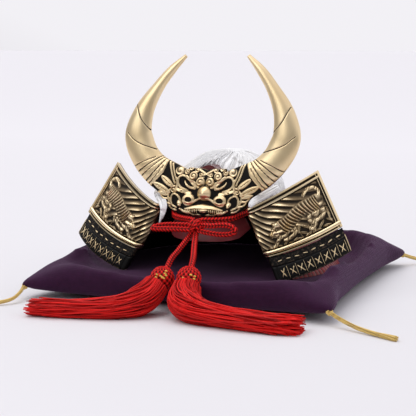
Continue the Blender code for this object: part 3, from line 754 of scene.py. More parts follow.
@dataclass(frozen=True)
class Looks:
    """Every material of the object."""

    face: bpy.types.Material
    plate: bpy.types.Material
    trim: bpy.types.Material
    lames: bpy.types.Material
    bowl: bpy.types.Material
    visor: bpy.types.Material
    black: bpy.types.Material
    braid: bpy.types.Material
    tassel: bpy.types.Material
    gold: bpy.types.Material
    yellow: bpy.types.Material
    hair: bpy.types.Material
    cloth: bpy.types.Material

    @classmethod
    def mix(cls) -> "Looks":
        """Make each finish once.

        Returns:
            All of them.
        """
        # near-black painted as shade on the faces turned in towards the helmet's axis
        inner_shade_black = (0.006, 0.006, 0.006)
        return cls(
            face=CastBrass("crest brass", 0.22, 0.58).make(),
            plate=CastBrass("patinated plate brass", 0.20, 0.82, (0.96, 0.79, 0.51), (0.25, 0.185, 0.11),
                            (0.026, 0.020, 0.014), 0.22).make(),
            trim=CastBrass("trim brass", -1.0, -0.5).make(),
            # ribbed lames: painted shade in the rib grooves and near-black painted shade on the inward faces
            lames=Lacquer("ribbed red lacquer", (0.25, 0.012, 0.014), inner_shade_black, 120, 0.28, 0.0, 0.2).make(),
            bowl=Lacquer("dark red lacquer", (0.13, 0.008, 0.010), inner_shade_black).make(),
            visor=Lacquer("dusky red lacquer", (0.20, 0.024, 0.030), gloss=0.36, coat=0.0, shine=0.22).make(),
            # brown wear colour, which also paints highlights on the raised edges and a reflection on the
            # band's upper strip
            black=Lacquer("black lacquer with wear and painted sheen", (0.004, 0.0036, 0.0032), gloss=0.34, coat=0.0, shine=0.16,
                          wear=(0.14, 0.10, 0.07)).make(),
            # its near-black dark end is painted shade in the gaps of the braid and of the ball's net
            braid=Silk("red silk braid", (0.90, 0.014, 0.011), (0.040, 0.001, 0.001), sheen=0.0).make(),
            tassel=Silk("red tassel silk", (0.84, 0.012, 0.010), (0.26, 0.003, 0.003), 0.55, 0.0).make(),
            gold=Silk("gold thread", (0.90, 0.62, 0.12), (0.45, 0.26, 0.04), 0.30, 0.0).make(),
            yellow=Silk("yellow thread", (0.86, 0.62, 0.20), (0.52, 0.34, 0.08), 0.5, 0.3).make(),
            hair=Silk("white hair", (0.99, 0.99, 0.995), (0.90, 0.895, 0.91), 0.5, 0.0).make(),
            cloth=PlumCloth("plum crepe").make(),
        )


@dataclass
class Cushion:
    """Square stuffed cushion, pressed down under the helmet, with a bundle of threads at each corner."""

    look: bpy.types.Material
    thread: bpy.types.Material
    side: float = 200.0 * MM
    swell: float = 34.0 * MM
    seam: float = 8.0 * MM
    seat: float = 12.9 * MM
    fullness: float = 6.0
    pinch: float = 0.03
    dip_side: float = 82.5 * MM
    dip_front: float = 73.3 * MM
    dip_back: float = 78.2 * MM
    middle_y: float = 3.0 * MM
    tassel_length: float = 50.0 * MM
    tassel_thick: float = 2.7 * MM
    form_cells: int = 40
    voxel: float = 5.0 * MM
    frames: int = 20
    reach: float = 7.0 * MM
    soft: float = 1.6 * MM
    ear: float = 6.0 * MM
    corner_threads: int = 34
    # Ways of the corner threads: x and y shares of tassel_length, height in tassel_thick
    ways: tuple = (
        ("corner_tassel_1", (-1, -1), ((-0.02, 0.18, 2.30), (0.00, 0.36, 1.20), (0.14, 0.50, 0.62),
                                       (0.40, 0.60, 0.55), (0.70, 0.68, 0.55))),
        ("corner_tassel_2", (1, -1), ((0.16, 0.10, 1.90), (0.38, 0.22, 1.00), (0.62, 0.34, 0.60),
                                      (0.78, 0.42, 0.55), (0.90, 0.48, 0.55))),
        ("corner_tassel_3", (1, 1), ((0.16, 0.10, 1.90), (0.38, 0.20, 1.00), (0.60, 0.26, 0.60),
                                     (0.78, 0.30, 0.55), (0.94, 0.33, 0.55))),
        ("corner_tassel_4", (-1, 1), ((0.16, 0.08, 1.90), (0.38, 0.14, 1.00), (0.62, 0.17, 0.60),
                                      (0.80, 0.16, 0.55), (0.97, 0.12, 0.55))),
    )

    def plan(self, u: Array, v: Array) -> tuple[Array, Array]:
        """Place of a point of the cushion, its sides drawn in between the corners."""
        half = self.side / 2
        return half * u * (1 - self.pinch * (1 - v * v)), half * v * (1 - self.pinch * (1 - u * u))

    def dip(self, x: Array, y: Array) -> Array:
        """Measure from the helmet's middle, about 1 at the edge of the dip that it makes."""
        reach = np.where(y < self.middle_y, self.dip_front, self.dip_back)
        return ((np.abs(x) / self.dip_side) ** 3 + (np.abs(y - self.middle_y) / reach) ** 3) ** (1 / 3)

    def ceiling(self, x: Array, y: Array) -> Array:
        """Highest that the cloth may rise without meeting the helmet.

        Args:
            x: Places across, in metres.
            y: Places from front to back.

        Returns:
            Heights in metres.
        """
        behind = smoothstep(-72.8 * MM, -43.1 * MM, y)
        share = np.clip((self.dip(x, y) - (1.10 - 0.07 * behind)) / (0.52 - 0.39 * behind), 0.0, 1.0)
        return self.seat + (self.swell + 4.0 * MM - self.seat) * share * share * (3 - 2 * share)

    def settled(self, x: Array, y: Array, z: Array) -> Array:
        """Heights of the cloth, which passes softly under the helmet."""
        return -self.soft * np.logaddexp(-z / self.soft, -self.ceiling(x, y) / self.soft)

    def form(self) -> bpy.types.Mesh:
        """Crowned form of the cushion before it is stuffed.

        Returns:
            The mesh.
        """
        cells = self.form_cells
        stations = np.sin(math.pi / 2 * np.linspace(-1.0, 1.0, cells + 1))
        builder = bmesh.new()
        for above in (True, False):
            for vert, column, row in grid_points(builder, cells, cells):
                u, v = stations[column], stations[row]
                x, y = self.plan(u, v)
                share = math.sqrt(max(0.0, 1 - abs(u) ** self.fullness)
                                  * max(0.0, 1 - abs(v) ** self.fullness))
                seam = self.seam * (1.0 + 0.5 * (1.0 - min(abs(u), abs(v)) ** 2))
                top = seam + (self.swell - seam) * share
                low = max(0.0, seam * (1.0 - 1.25 * share))
                vert.co = (x, y, float(self.settled(x, y, top)) if above else low)
        return hand_mesh("cushion form", builder)

    def stuff(self, piece: bpy.types.Object) -> None:
        """Fill the cushion out with a cloth simulation and keep its result.

        Args:
            piece: The cushion before it, whose mesh is changed.
        """
        scene = bpy.context.scene
        remesh = piece.modifiers.new("cells", "REMESH")
        remesh.mode = "VOXEL"
        remesh.voxel_size = self.voxel
        self.settle(piece)
        start = points_of(piece.data)
        held = np.abs(start[:, :2]).max(axis=1) > self.side / 2 * (1.0 - self.pinch) - 1.5 * self.voxel
        seam = piece.vertex_groups.new(name="seam")
        seam.add(np.flatnonzero(held).tolist(), 1.0, "REPLACE")
        cloth = piece.modifiers.new("stuffing", "CLOTH")
        cloth.settings.vertex_group_mass = "seam"
        cloth.settings.use_pressure = True
        cloth.settings.uniform_pressure_force = 4.0
        cloth.settings.effector_weights.gravity = 0.0
        cloth.settings.tension_stiffness = 12.0
        cloth.settings.bending_stiffness = 0.8
        for frame in range(1, self.frames + 1):
            scene.frame_set(frame)
        self.settle(piece)
        scene.frame_set(1)
        move = points_of(piece.data) - start
        far = np.linalg.norm(move, axis=1, keepdims=True)
        move *= np.minimum(1.0, self.reach / np.maximum(far, 1e-9))
        points = start + move
        ear = smoothstep(0.66, 0.97, np.abs(points[:, :2]).min(axis=1) / (self.side / 2))[:, None]
        points[:, :2] += np.sign(points[:, :2]) * self.ear * ear
        points[:, 2:] += (self.seam - points[:, 2:]) * 0.45 * ear
        limit = self.side / 2 + 2.5 * MM
        points[:, :2] = np.clip(points[:, :2], -limit, limit)
        points[:, 2] = np.maximum(self.settled(points[:, 0], points[:, 1], points[:, 2]), 0.0)
        set_points(piece.data, points)

    @staticmethod
    def settle(piece: bpy.types.Object) -> None:
        """Apply the modifiers of a piece to its mesh.

        Args:
            piece: The piece, which gets a new mesh.
        """
        graph = bpy.context.evaluated_depsgraph_get()
        made = bpy.data.meshes.new_from_object(piece.evaluated_get(graph))
        piece.modifiers.clear()
        piece.data = made

    def build(self) -> None:
        """Make the cushion and its corner threads."""
        piece = put("cushion_cover", self.form(), self.look, Slot.CUSHION, "cushion")
        self.stuff(piece)
        smooth = piece.modifiers.new("smooth", "SUBSURF")
        smooth.levels = smooth.render_levels = 1
        piece.data.shade_smooth()
        piece.data.materials.clear()
        piece.data.materials.append(self.look)
        for number, (name, hands, way) in enumerate(self.ways):
            self.corner(number, name, hands, way)

    def corner(self, number: int, name: str, hands: tuple[int, int], way: tuple) -> None:
        """Bundle of yellow threads with a knot at a corner.

        Args:
            number: Seed of the threads' small differences.
            name: CAD node that it replaces.
            hands: Sides of the corner along x and y.
            way: Route of the bundle.
        """
        chance = np.random.default_rng(40 + number)
        half, thick = self.side / 2, self.tassel_thick
        start = np.array([hands[0] * half, hands[1] * half, self.seam])
        rows = [start, start + np.array([hands[0], hands[1], -0.3]) * thick / 2]
        for out_x, out_y, height in way:
            spot = start + np.array([hands[0] * out_x, hands[1] * out_y, 0.0]) * self.tassel_length
            rows.append(np.array([spot[0], spot[1], height * thick]))
        count, stations = self.corner_threads, 26
        share = np.linspace(0.0, 1.0, stations)
        line = curve_at(np.array(rows), share)
        side, above = tube_frames(line)
        radius = np.sqrt(chance.random(count))[:, None] * thick / 2 * (0.8 + 0.35 * share ** 3)
        angle = chance.random(count)[:, None] * 2 * math.pi
        angle = angle + 1.2 * np.sin(3 * share + chance.random(count)[:, None])
        paths = line[None] + radius[..., None] * (np.cos(angle)[..., None] * side
                                                  + np.sin(angle)[..., None] * above)
        paths[..., 2] = np.maximum(paths[..., 2], 0.25 * MM)
        shades = 0.35 + 0.65 * chance.random(count)
        radii = np.full((count, stations), 0.26 * MM)
        put(f"{name}_threads", bundle(name, paths, radii, shades), self.thread, Slot.YELLOW, name)
        knot = line[2]
        turns = np.linspace(0.0, 2 * math.pi * 3.0, 60)
        wrap = knot + (side[3] * np.cos(turns)[:, None] + above[3] * np.sin(turns)[:, None]) * 0.62 * thick
        wrap = wrap + unit(line[4] - line[2]) * (turns / turns[-1] - 0.5)[:, None] * 0.8 * thick
        wrap[:, 2] = np.maximum(wrap[:, 2], 0.45 * MM)
        knot_mesh = bundle(name + " knot", wrap[None], np.full((1, 60), 0.45 * MM), np.array([0.8]), 6)
        put(f"{name}_knot", knot_mesh, self.thread, Slot.YELLOW)


@dataclass
class CheekPlate:
    """Turned-back cheek plate with a cast tiger, waves and bamboo, over its black laced band."""

    side: Side
    looks: Looks
    half_span: float = 96.4 * MM
    front: float = 53.9 * MM
    height: float = 68.0 * MM
    hem_z: float = 13.2 * MM
    wall: float = 1.6 * MM
    turn_radius: float = 3.5 * MM
    turn_angle: float = math.radians(135.0)
    back_run: float = 9.0 * MM
    back_fall: float = 2.6 * MM
    rim: float = 1.1 * MM
    relief_depth: float = 1.7 * MM
    band_setback: float = 0.9 * MM
    band_wall: float = 1.4 * MM
    run: float = 50.0
    drop: float = 31.0
    cells: int = 8
    cell_start: float = 0.03
    cell_run: float = 0.93
    wave: float = 0.125
    # Shares of half_span, front and height above the hem: inner, belly and outer corner at each level
    levels: tuple = (
        (0.355, 0.868, 0.673, 0.533, 0.788, 0.803, 0.729, 0.430, 1.000),
        (0.493, 0.924, 0.222, 0.735, 0.891, 0.325, 0.924, 0.581, 0.500),
        (0.567, 0.998, 0.000, 0.830, 0.960, 0.115, 1.000, 0.655, 0.291),
    )
    # Lines of the tiger: shares of the way from the outer edge to the turn and down the plate,
    # half widths in millimetres
    tail: tuple = ((0.13, 0.40), (0.095, 0.29), (0.14, 0.20), (0.22, 0.185), (0.29, 0.24))
    spine: tuple = ((0.155, 0.43), (0.24, 0.43), (0.36, 0.43), (0.48, 0.47), (0.60, 0.53), (0.72, 0.56))
    limbs: tuple = (
        (((0.20, 0.50), (0.13, 0.60), (0.16, 0.68), (0.24, 0.70)), 1.9, 1.1),
        (((0.30, 0.56), (0.34, 0.66), (0.28, 0.75), (0.34, 0.79)), 1.7, 1.0),
        (((0.66, 0.62), (0.69, 0.70), (0.79, 0.74), (0.87, 0.84)), 1.9, 1.1),
        (((0.57, 0.62), (0.55, 0.72), (0.63, 0.78), (0.70, 0.80)), 1.6, 1.0),
    )

    def corner(self, level: Array, column: int) -> Array:
        """Inner corner, belly or outer corner of the plate's edge.

        Args:
            level: Levels from 0 at the top to 2 at the hem.
            column: 0 inner, 1 belly, 2 outer.

        Returns:
            Points in metres.
        """
        places = np.array([row[3 * column:3 * column + 3] for row in self.levels])
        lower = np.minimum(level.astype(int), 1)
        share = (level - lower)[:, None]
        at = places[lower] * (1 - share) + places[lower + 1] * share
        return np.column_stack([at[:, 0] * self.half_span, -at[:, 1] * self.front,
                                self.hem_z + at[:, 2] * self.height])

    @staticmethod
    def turned(vector: Array, angle: Array) -> Array:
        """Plan vectors turned by angles."""
        cosine, sine = np.cos(angle), np.sin(angle)
        return np.column_stack([cosine * vector[:, 0] - sine * vector[:, 1],
                                sine * vector[:, 0] + cosine * vector[:, 1]])

    def middle(self, s: Array, level: Array) -> Array:
        """Middle of the right-hand plate.

        Args:
            s: 0 to 1 over the plate, 1 to 2 round the turn, 2 to 3 on the way back.
            level: Levels from 0 to 2.

        Returns:
            Points in metres.
        """
        inner, belly, outer = (self.corner(level, column) for column in range(3))
        share = s[:, None]
        flat = (1 - share) ** 2 * outer + 2 * share * (1 - share) * belly + share ** 2 * inner
        heading = (inner - belly)[:, :2]
        run = np.linalg.norm(heading, axis=1)
        heading = heading / run[:, None]
        fall = (belly - inner)[:, 2] / run * (1.0 - level / 2.0)
        toward = np.column_stack([heading[:, 1], -heading[:, 0]])
        angle = self.turn_angle * np.clip(s - 1.0, 0.0, 1.0)
        plan = inner[:, :2] + toward * self.turn_radius + self.turned(-toward * self.turn_radius, -angle)
        rise = inner[:, 2] - fall * self.turn_radius * np.sin(np.minimum(angle, math.pi / 2))
        behind = np.clip(s - 2.0, 0.0, None)
        rise = rise - self.back_fall * behind * (1.0 - level / 2.0)
        whole = np.full(len(s), -self.turn_angle)
        plan = plan + self.turned(heading, whole) * (self.back_run * behind)[:, None]
        return np.where(share <= 1.0, flat, np.column_stack([plan, rise]))

    def face(self, s: Array, level: Array, lift: Array) -> Array:
        """Points of this side's plate at a height along its normal.

        Args:
            s: Places along the plate.
            level: Levels from 0 to 2.
            lift: Heights above the middle, in metres.

        Returns:
            Points in metres.
        """
        step = 0.01
        top, bottom = np.maximum(level - step, 0.0), np.minimum(level + step, 2.0)
        ahead, before = np.minimum(s + step, 3.0), np.maximum(s - step, 0.0)
        along = self.middle(ahead, level) - self.middle(before, level)
        down = self.middle(s, bottom) - self.middle(s, top)
        points = self.middle(s, level) + unit(np.cross(along, down)) * lift[:, None]
        points[:, 0] *= self.side.value
        points[:, 2] = np.maximum(points[:, 2], self.hem_z)
        return points

    def spots(self, *shares: tuple[float, float]) -> tuple[tuple[float, float], ...]:
        """Shares along and down the plate as places in millimetres."""
        return tuple((a * self.run, b * self.drop) for a, b in shares)

    def tiger(self) -> list[Stroke]:
        """Strokes of the tiger, from its far limbs to its near ones.

        Returns:
            Its tail, limbs, haunch, body, shoulder, head, muzzle and ears, then eyes and mouth, then paws.
        """
        ears = (((a, 0.475), (a + 0.01, 0.445)) for a in (0.725, 0.80))
        eyes = (((a, b), (a + 0.014, b + 0.01)) for a, b in ((0.775, 0.565), (0.83, 0.555)))
        paws = (((a, b), (a + 0.02, b)) for a, b in ((0.25, 0.70), (0.35, 0.79), (0.88, 0.85), (0.71, 0.80)))
        rows = [
            (self.tail, 1.15, 0.85, None, Cut.ROUND),
            *((way, width, 0.72, end, Cut.ROUND) for way, width, end in self.limbs),
            (((0.19, 0.48), (0.23, 0.55)), 4.4, 0.92, 3.4, Cut.ROUND),
            (self.spine, 4.0, 0.88, 4.2, Cut.ROUND),
            (((0.63, 0.57), (0.66, 0.62)), 4.3, 1.0, 3.2, Cut.ROUND),
            (((0.76, 0.57), (0.80, 0.60)), 4.1, 1.05, 3.4, Cut.ROUND),
            (((0.84, 0.62), (0.88, 0.64)), 2.3, 1.15, 1.9, Cut.ROUND),
            *((ear, 1.1, 1.0, 0.6, Cut.ROUND) for ear in ears),
            *((eye, 0.75, 0.9, None, Cut.GROOVE) for eye in eyes),
            (((0.83, 0.68), (0.875, 0.67), (0.91, 0.645)), 0.5, 0.85, None, Cut.GROOVE),
            *((paw, 1.5, 0.85, 1.3, Cut.ROUND) for paw in paws),
        ]
        return [Stroke(self.spots(*way), width, height, end, cut) for way, width, height, end, cut in rows]

    def bamboo(self) -> list[Stroke]:
        """Bamboo below and behind the tiger.

        Returns:
            Strokes of the leaves with their veins, then of the stalks.
        """
        leaves = []
        chance = np.random.default_rng(7)
        for a, b, lean in ((0.10, 0.80, 0.5), (0.16, 0.86, 0.2), (0.22, 0.80, 2.6), (0.27, 0.87, 0.3),
                           (0.33, 0.84, 2.4), (0.40, 0.74, 0.6), (0.42, 0.86, 2.9), (0.47, 0.80, 0.4),
                           (0.50, 0.70, 2.2), (0.53, 0.87, 0.2), (0.60, 0.86, 2.8), (0.66, 0.88, 0.2),
                           (0.08, 0.64, 1.2), (0.09, 0.72, 1.9), (0.12, 0.56, 1.4), (0.74, 0.86, 2.5),
                           (0.80, 0.88, 0.4), (0.46, 0.66, 0.9), (0.38, 0.80, 1.6), (0.93, 0.88, 0.6)):
            size = 4.2 + 1.6 * float(chance.random())
            x, y = a * self.run, b * self.drop
            dx, dy = math.cos(lean) * size / 2, -math.sin(lean) * size / 2
            way = ((x - dx, y - dy), (x + dx, y + dy))
            leaves += [Stroke(way, 0.85, 0.66, leaf=True), Stroke(way, 0.16, 0.5, cut=Cut.GROOVE)]
        for a in (0.07, 0.31, 0.49):
            leaves.append(Stroke(self.spots((a, 0.90), (a + 0.03, 0.74), (a + 0.02, 0.62)), 0.4, 0.5))
        return leaves

    def striped(self, at: Array) -> tuple[Array, Array]:
        """Tiger with its ribs and fur.

        Args:
            at: Places on the plate in millimetres.

        Returns:
            Its relief from 0 to 1, and the share of the tiger at each place.
        """
        tiger = np.zeros(len(at))
        for stroke in self.tiger():
            tiger = stroke.carve(at, tiger)
        line = np.array(self.spots(*self.spine))
        under = (at[:, 1] - np.interp(at[:, 0], line[:, 0], line[:, 1])) / 4.0
        off, share = Stroke(self.spots(*self.spine), 4.0).field(at)
        ribs = 0.5 + 0.5 * np.cos(2 * math.pi * (14.0 * share + 0.40 * (under + 1.0) ** 2))
        body = smoothstep(0.15, 0.6, tiger)
        comb = 0.30 * at[:, 0] - 0.46 * at[:, 1] + 0.3 * np.sin(1.3 * at[:, 0])
        fur = 0.5 + 0.5 * np.cos(2 * math.pi * comb)
        limb = smoothstep(4.0, 4.8, off)
        combed = 0.78 * (1.0 - ribs) * smoothstep(-1.0, -0.55, under) * (1.0 - limb) + 0.45 * fur ** 2 * limb
        return tiger * (1.0 - combed * body), body

    def winds(self, reach: Array, t: Array) -> Array:
        """Saw-toothed ridges of wind and water behind the tiger.

        Args:
            reach: Places along the plate in lengths of its front.
            t: Places down it, 0 to 1.

        Returns:
            Their relief from 0 to 1.
        """
        phase = t + 0.64 * reach + 2.4 * np.clip(reach - 0.8, 0.0, 0.6) ** 2
        phase = (phase + 0.014 * np.sin(9.0 * reach + 4.0 * t)) / self.wave
        rise = phase - np.floor(phase)
        wave = rise ** 1.2 * (1.0 - smoothstep(0.82, 1.0, rise))
        wave = wave * (1.08 + 0.22 * np.sin(23.0 * reach + 11.0 * np.floor(phase)))
        upper = 1.0 - smoothstep(0.66, 0.80, t) * (1.0 - smoothstep(0.80, 0.95, reach))
        return wave * upper * (0.45 + 0.55 * smoothstep(0.25, 0.5, reach))

    def relief(self, s: Array, t: Array) -> tuple[Array, Array]:
        """Height of the casting above the plate's ground.

        Args:
            s: Places along the plate, 0 to 3.
            t: Places down it, 0 to 1.

        Returns:
            Heights in metres and the shade of the patina, 0 black to 1 polished.
        """
        turn_run = self.turn_radius * self.turn_angle / MM
        reach = np.where(s <= 1.0, s, 1.0 + (s - 1.0) * turn_run / self.run)
        at = np.column_stack([reach * self.run, t * self.drop])
        tiger, body = self.striped(at)
        leaves = np.zeros(len(s))
        for stroke in self.bamboo():
            leaves = stroke.carve(at, leaves)
        wave = self.winds(reach, t)
        fine = np.maximum(np.maximum(0.90 * wave * (1.0 - body), leaves * (1.0 - body)), tiger)
        inside = smoothstep(0.115, 0.135, t) * (1 - smoothstep(0.865, 0.885, t)) * smoothstep(0.062, 0.080, s)
        inside = inside * (1.0 - smoothstep(2.0, 2.6, s))
        height = fine * self.relief_depth * inside
        shade = (0.10 + 0.92 * fine) * inside
        flat = np.clip(3.0 - s, 0.0, 1.0)
        for low, high, share in ((-0.01, 0.042, 1.0), (0.066, 0.112, 0.95)):
            bar = smoothstep(low, low + 0.008, t) * (1 - smoothstep(high - 0.008, high, t))
            height = np.maximum(height, bar * self.rim * share * flat)
            shade = np.maximum(shade, bar)
        for low, high, share in ((-0.01, 0.030, 1.0), (0.044, 0.058, 0.8)):
            bar = smoothstep(low, low + 0.003, s) * (1 - smoothstep(high - 0.004, high, s))
            height = np.maximum(height, bar * self.rim * share)
            shade = np.maximum(shade, bar)
        swell = np.sqrt(np.clip(1.0 - ((t - 0.925) / 0.038) ** 2, 0.0, 1.0))
        height = np.maximum(height, swell * 1.3 * self.rim * flat)
        shade = np.maximum(shade, smoothstep(0.1, 0.5, swell))
        lip = smoothstep(0.975, 0.982, t)
        return np.maximum(height, lip * 0.8 * self.rim * flat), np.maximum(shade, lip * 0.8)

    def casting(self) -> bpy.types.Mesh:
        """Cast plate with its relief and its plain back.

        Returns:
            The mesh.
        """
        down = np.linspace(0.0, 1.0, 133)
        back = np.linspace(1.0, 0.0, 9)
        ring = np.concatenate([down, 2.0 + (1.0 - back), [0.0]])
        stations = joined((0.0, 1.0, 190), (1.0, 2.0, 30), (2.0, 3.0, 10))

        def place(turn: Array, s: Array) -> tuple[Array, Array]:
            """Front points for turns up to 1, back points beyond 2.

            Args:
                turn: Values round the section.
                s: Places along the plate.

            Returns:
                Points in metres and their height attribute.
            """
            behind = turn > 1.5
            t = np.where(behind, 3.0 - turn, turn)
            height, shade = self.relief(s, t)
            lift = np.where(behind, -self.wall, height)
            return self.face(s, t, lift), np.where(behind, 0.45, shade)

        return loft(f"plate {self.side.word}", ring, stations, place, 38.0)

    def band(self) -> bpy.types.Mesh:
        """Black band below the plate, with a rounded lower edge.

        Returns:
            The mesh.
        """
        start = 1.0 + 1.3 * 0.3 / 13.5
        down = np.linspace(start, 2.0, 46)
        ring = np.concatenate([down, 4.0 - down[::-1] + 2.0, [start]])
        stations = joined((0.0, 1.0, 230), (1.0, 2.0, 24), (2.0, 3.0, 3))

        def place(turn: Array, s: Array) -> tuple[Array, Array]:
            """Front points down to level 2, back points beyond it.

            Args:
                turn: Values round the section.
                s: Places along the plate.

            Returns:
                Points in metres and their height attribute.
            """
            behind = turn > 3.0
            level = np.where(behind, 6.0 - turn, turn)
            edge = 0.25 * MM * smoothstep(1.9, 2.0, level)
            # the second value paints brown on the band: wear with painted highlight on edges, painted
            # reflection on the upper strip
            cut, wear_and_sheen = self.panels(s, level)
            lift = np.where(behind, edge - self.band_wall, -edge - cut) - self.band_setback
            return self.face(s, level, lift), np.where(behind, 0.0, wear_and_sheen)

        return loft(f"band {self.side.word}", ring, stations, place, 50.0)

    def panels(self, s: Array, level: Array) -> tuple[Array, Array]:
        """Grooves that part the band's panels.

        Args:
            s: Places along the plate.
            level: Levels from 1 to 2.

        Returns:
            Depths of the cut in metres and how much brown the lacquer shows: wear with a painted highlight on
            the raised edges, and a painted reflection on the upper strip.
        """
        cell = (np.clip(s, 0.0, 0.96) - self.cell_start) * self.cells / self.cell_run
        away = np.abs(cell - np.rint(cell)) * self.cell_run / self.cells
        upright = (1.0 - smoothstep(0.0035, 0.0075, away)) * (level > 1.40) * (s < 0.98)
        cut = np.maximum(upright, 1.0 - smoothstep(0.018, 0.034, np.abs(level - 1.42)))
        ridge = smoothstep(0.008, 0.011, away) * (1.0 - smoothstep(0.014, 0.021, away))
        ridge = ridge * (level > 1.46) * (s < 0.98)
        brow = smoothstep(1.33, 1.36, level) * (1.0 - smoothstep(1.38, 1.40, level))
        foot = smoothstep(1.93, 1.97, level)
        # painted reflection: the upper strip gets a steady share of brown
        painted_reflection_strip = smoothstep(1.03, 1.06, level) * (1.0 - smoothstep(1.36, 1.39, level))
        # brown on the raised ridge, brow and foot: wear with a painted highlight
        wear_and_sheen = np.maximum(np.maximum(0.55 * ridge, 0.75 * brow), np.maximum(0.75 * foot, 0.62 * painted_reflection_strip))
        return 0.35 * MM * cut, wear_and_sheen * (1.0 - cut)

    def lacing(self) -> bpy.types.Mesh:
        """Brass dashes, crossed stitches and cell lines on the band.

        Returns:
            The mesh.
        """
        lines = []
        chance = np.random.default_rng(50 + self.side.value)
        wide = self.cell_run / self.cells
        for cell in range(self.cells):
            middle, half = self.cell_start + (cell + 0.5) * wide, 0.27 * wide
            low, high, upright = middle - half, middle + half, middle - half - 0.22 * wide
            sway, rise = wide * 0.05 * chance.standard_normal(5), 0.015 * chance.standard_normal(5)
            lines += [
                ((low, 1.25 + rise[0]), (high, 1.25 + rise[1]), 0.42),
                ((low + sway[0], 1.56 + rise[2]), (high + sway[1], 1.86 + rise[3]), 0.36),
                ((high + sway[2], 1.58 + rise[4]), (low + sway[3], 1.88), 0.42),
                ((upright, 1.47), (upright, 1.98), 0.14),
            ]
        lines.append(((0.0, 1.30), (0.0, 1.99), 0.30))
        count, stations = len(lines), 9
        share = np.linspace(0.0, 1.0, stations)
        paths = np.empty((count, stations, 3))
        radii = np.empty((count, stations))
        for i, (start, end, thick) in enumerate(lines):
            s = start[0] + (end[0] - start[0]) * share
            level = start[1] + (end[1] - start[1]) * share
            lift = np.full(stations, -self.band_setback + 0.10 * MM)
            paths[i] = self.face(s, level, lift)
            lumps = 1.0 + 0.10 * chance.standard_normal(stations)
            radii[i] = thick * MM * lumps * np.sqrt(np.clip(1.0 - (2.0 * share - 1.0) ** 4, 0.15, 1.0))
        return bundle(f"lacing {self.side.word}", paths, radii, np.ones(count), 6)

    def build(self) -> None:
        """Make the plate, its band and its lacing."""
        word = self.side.word
        put(f"cheek_plate_{word}", self.casting(), self.looks.plate, Slot.BRASS, f"wing_{word}")
        put(f"laced_band_{word}", self.band(), self.looks.black, Slot.BLACK_LACQUER,
            f"wing_band_{word}")
        put(f"band_lacing_{word}", self.lacing(), self.looks.trim, Slot.BRASS)


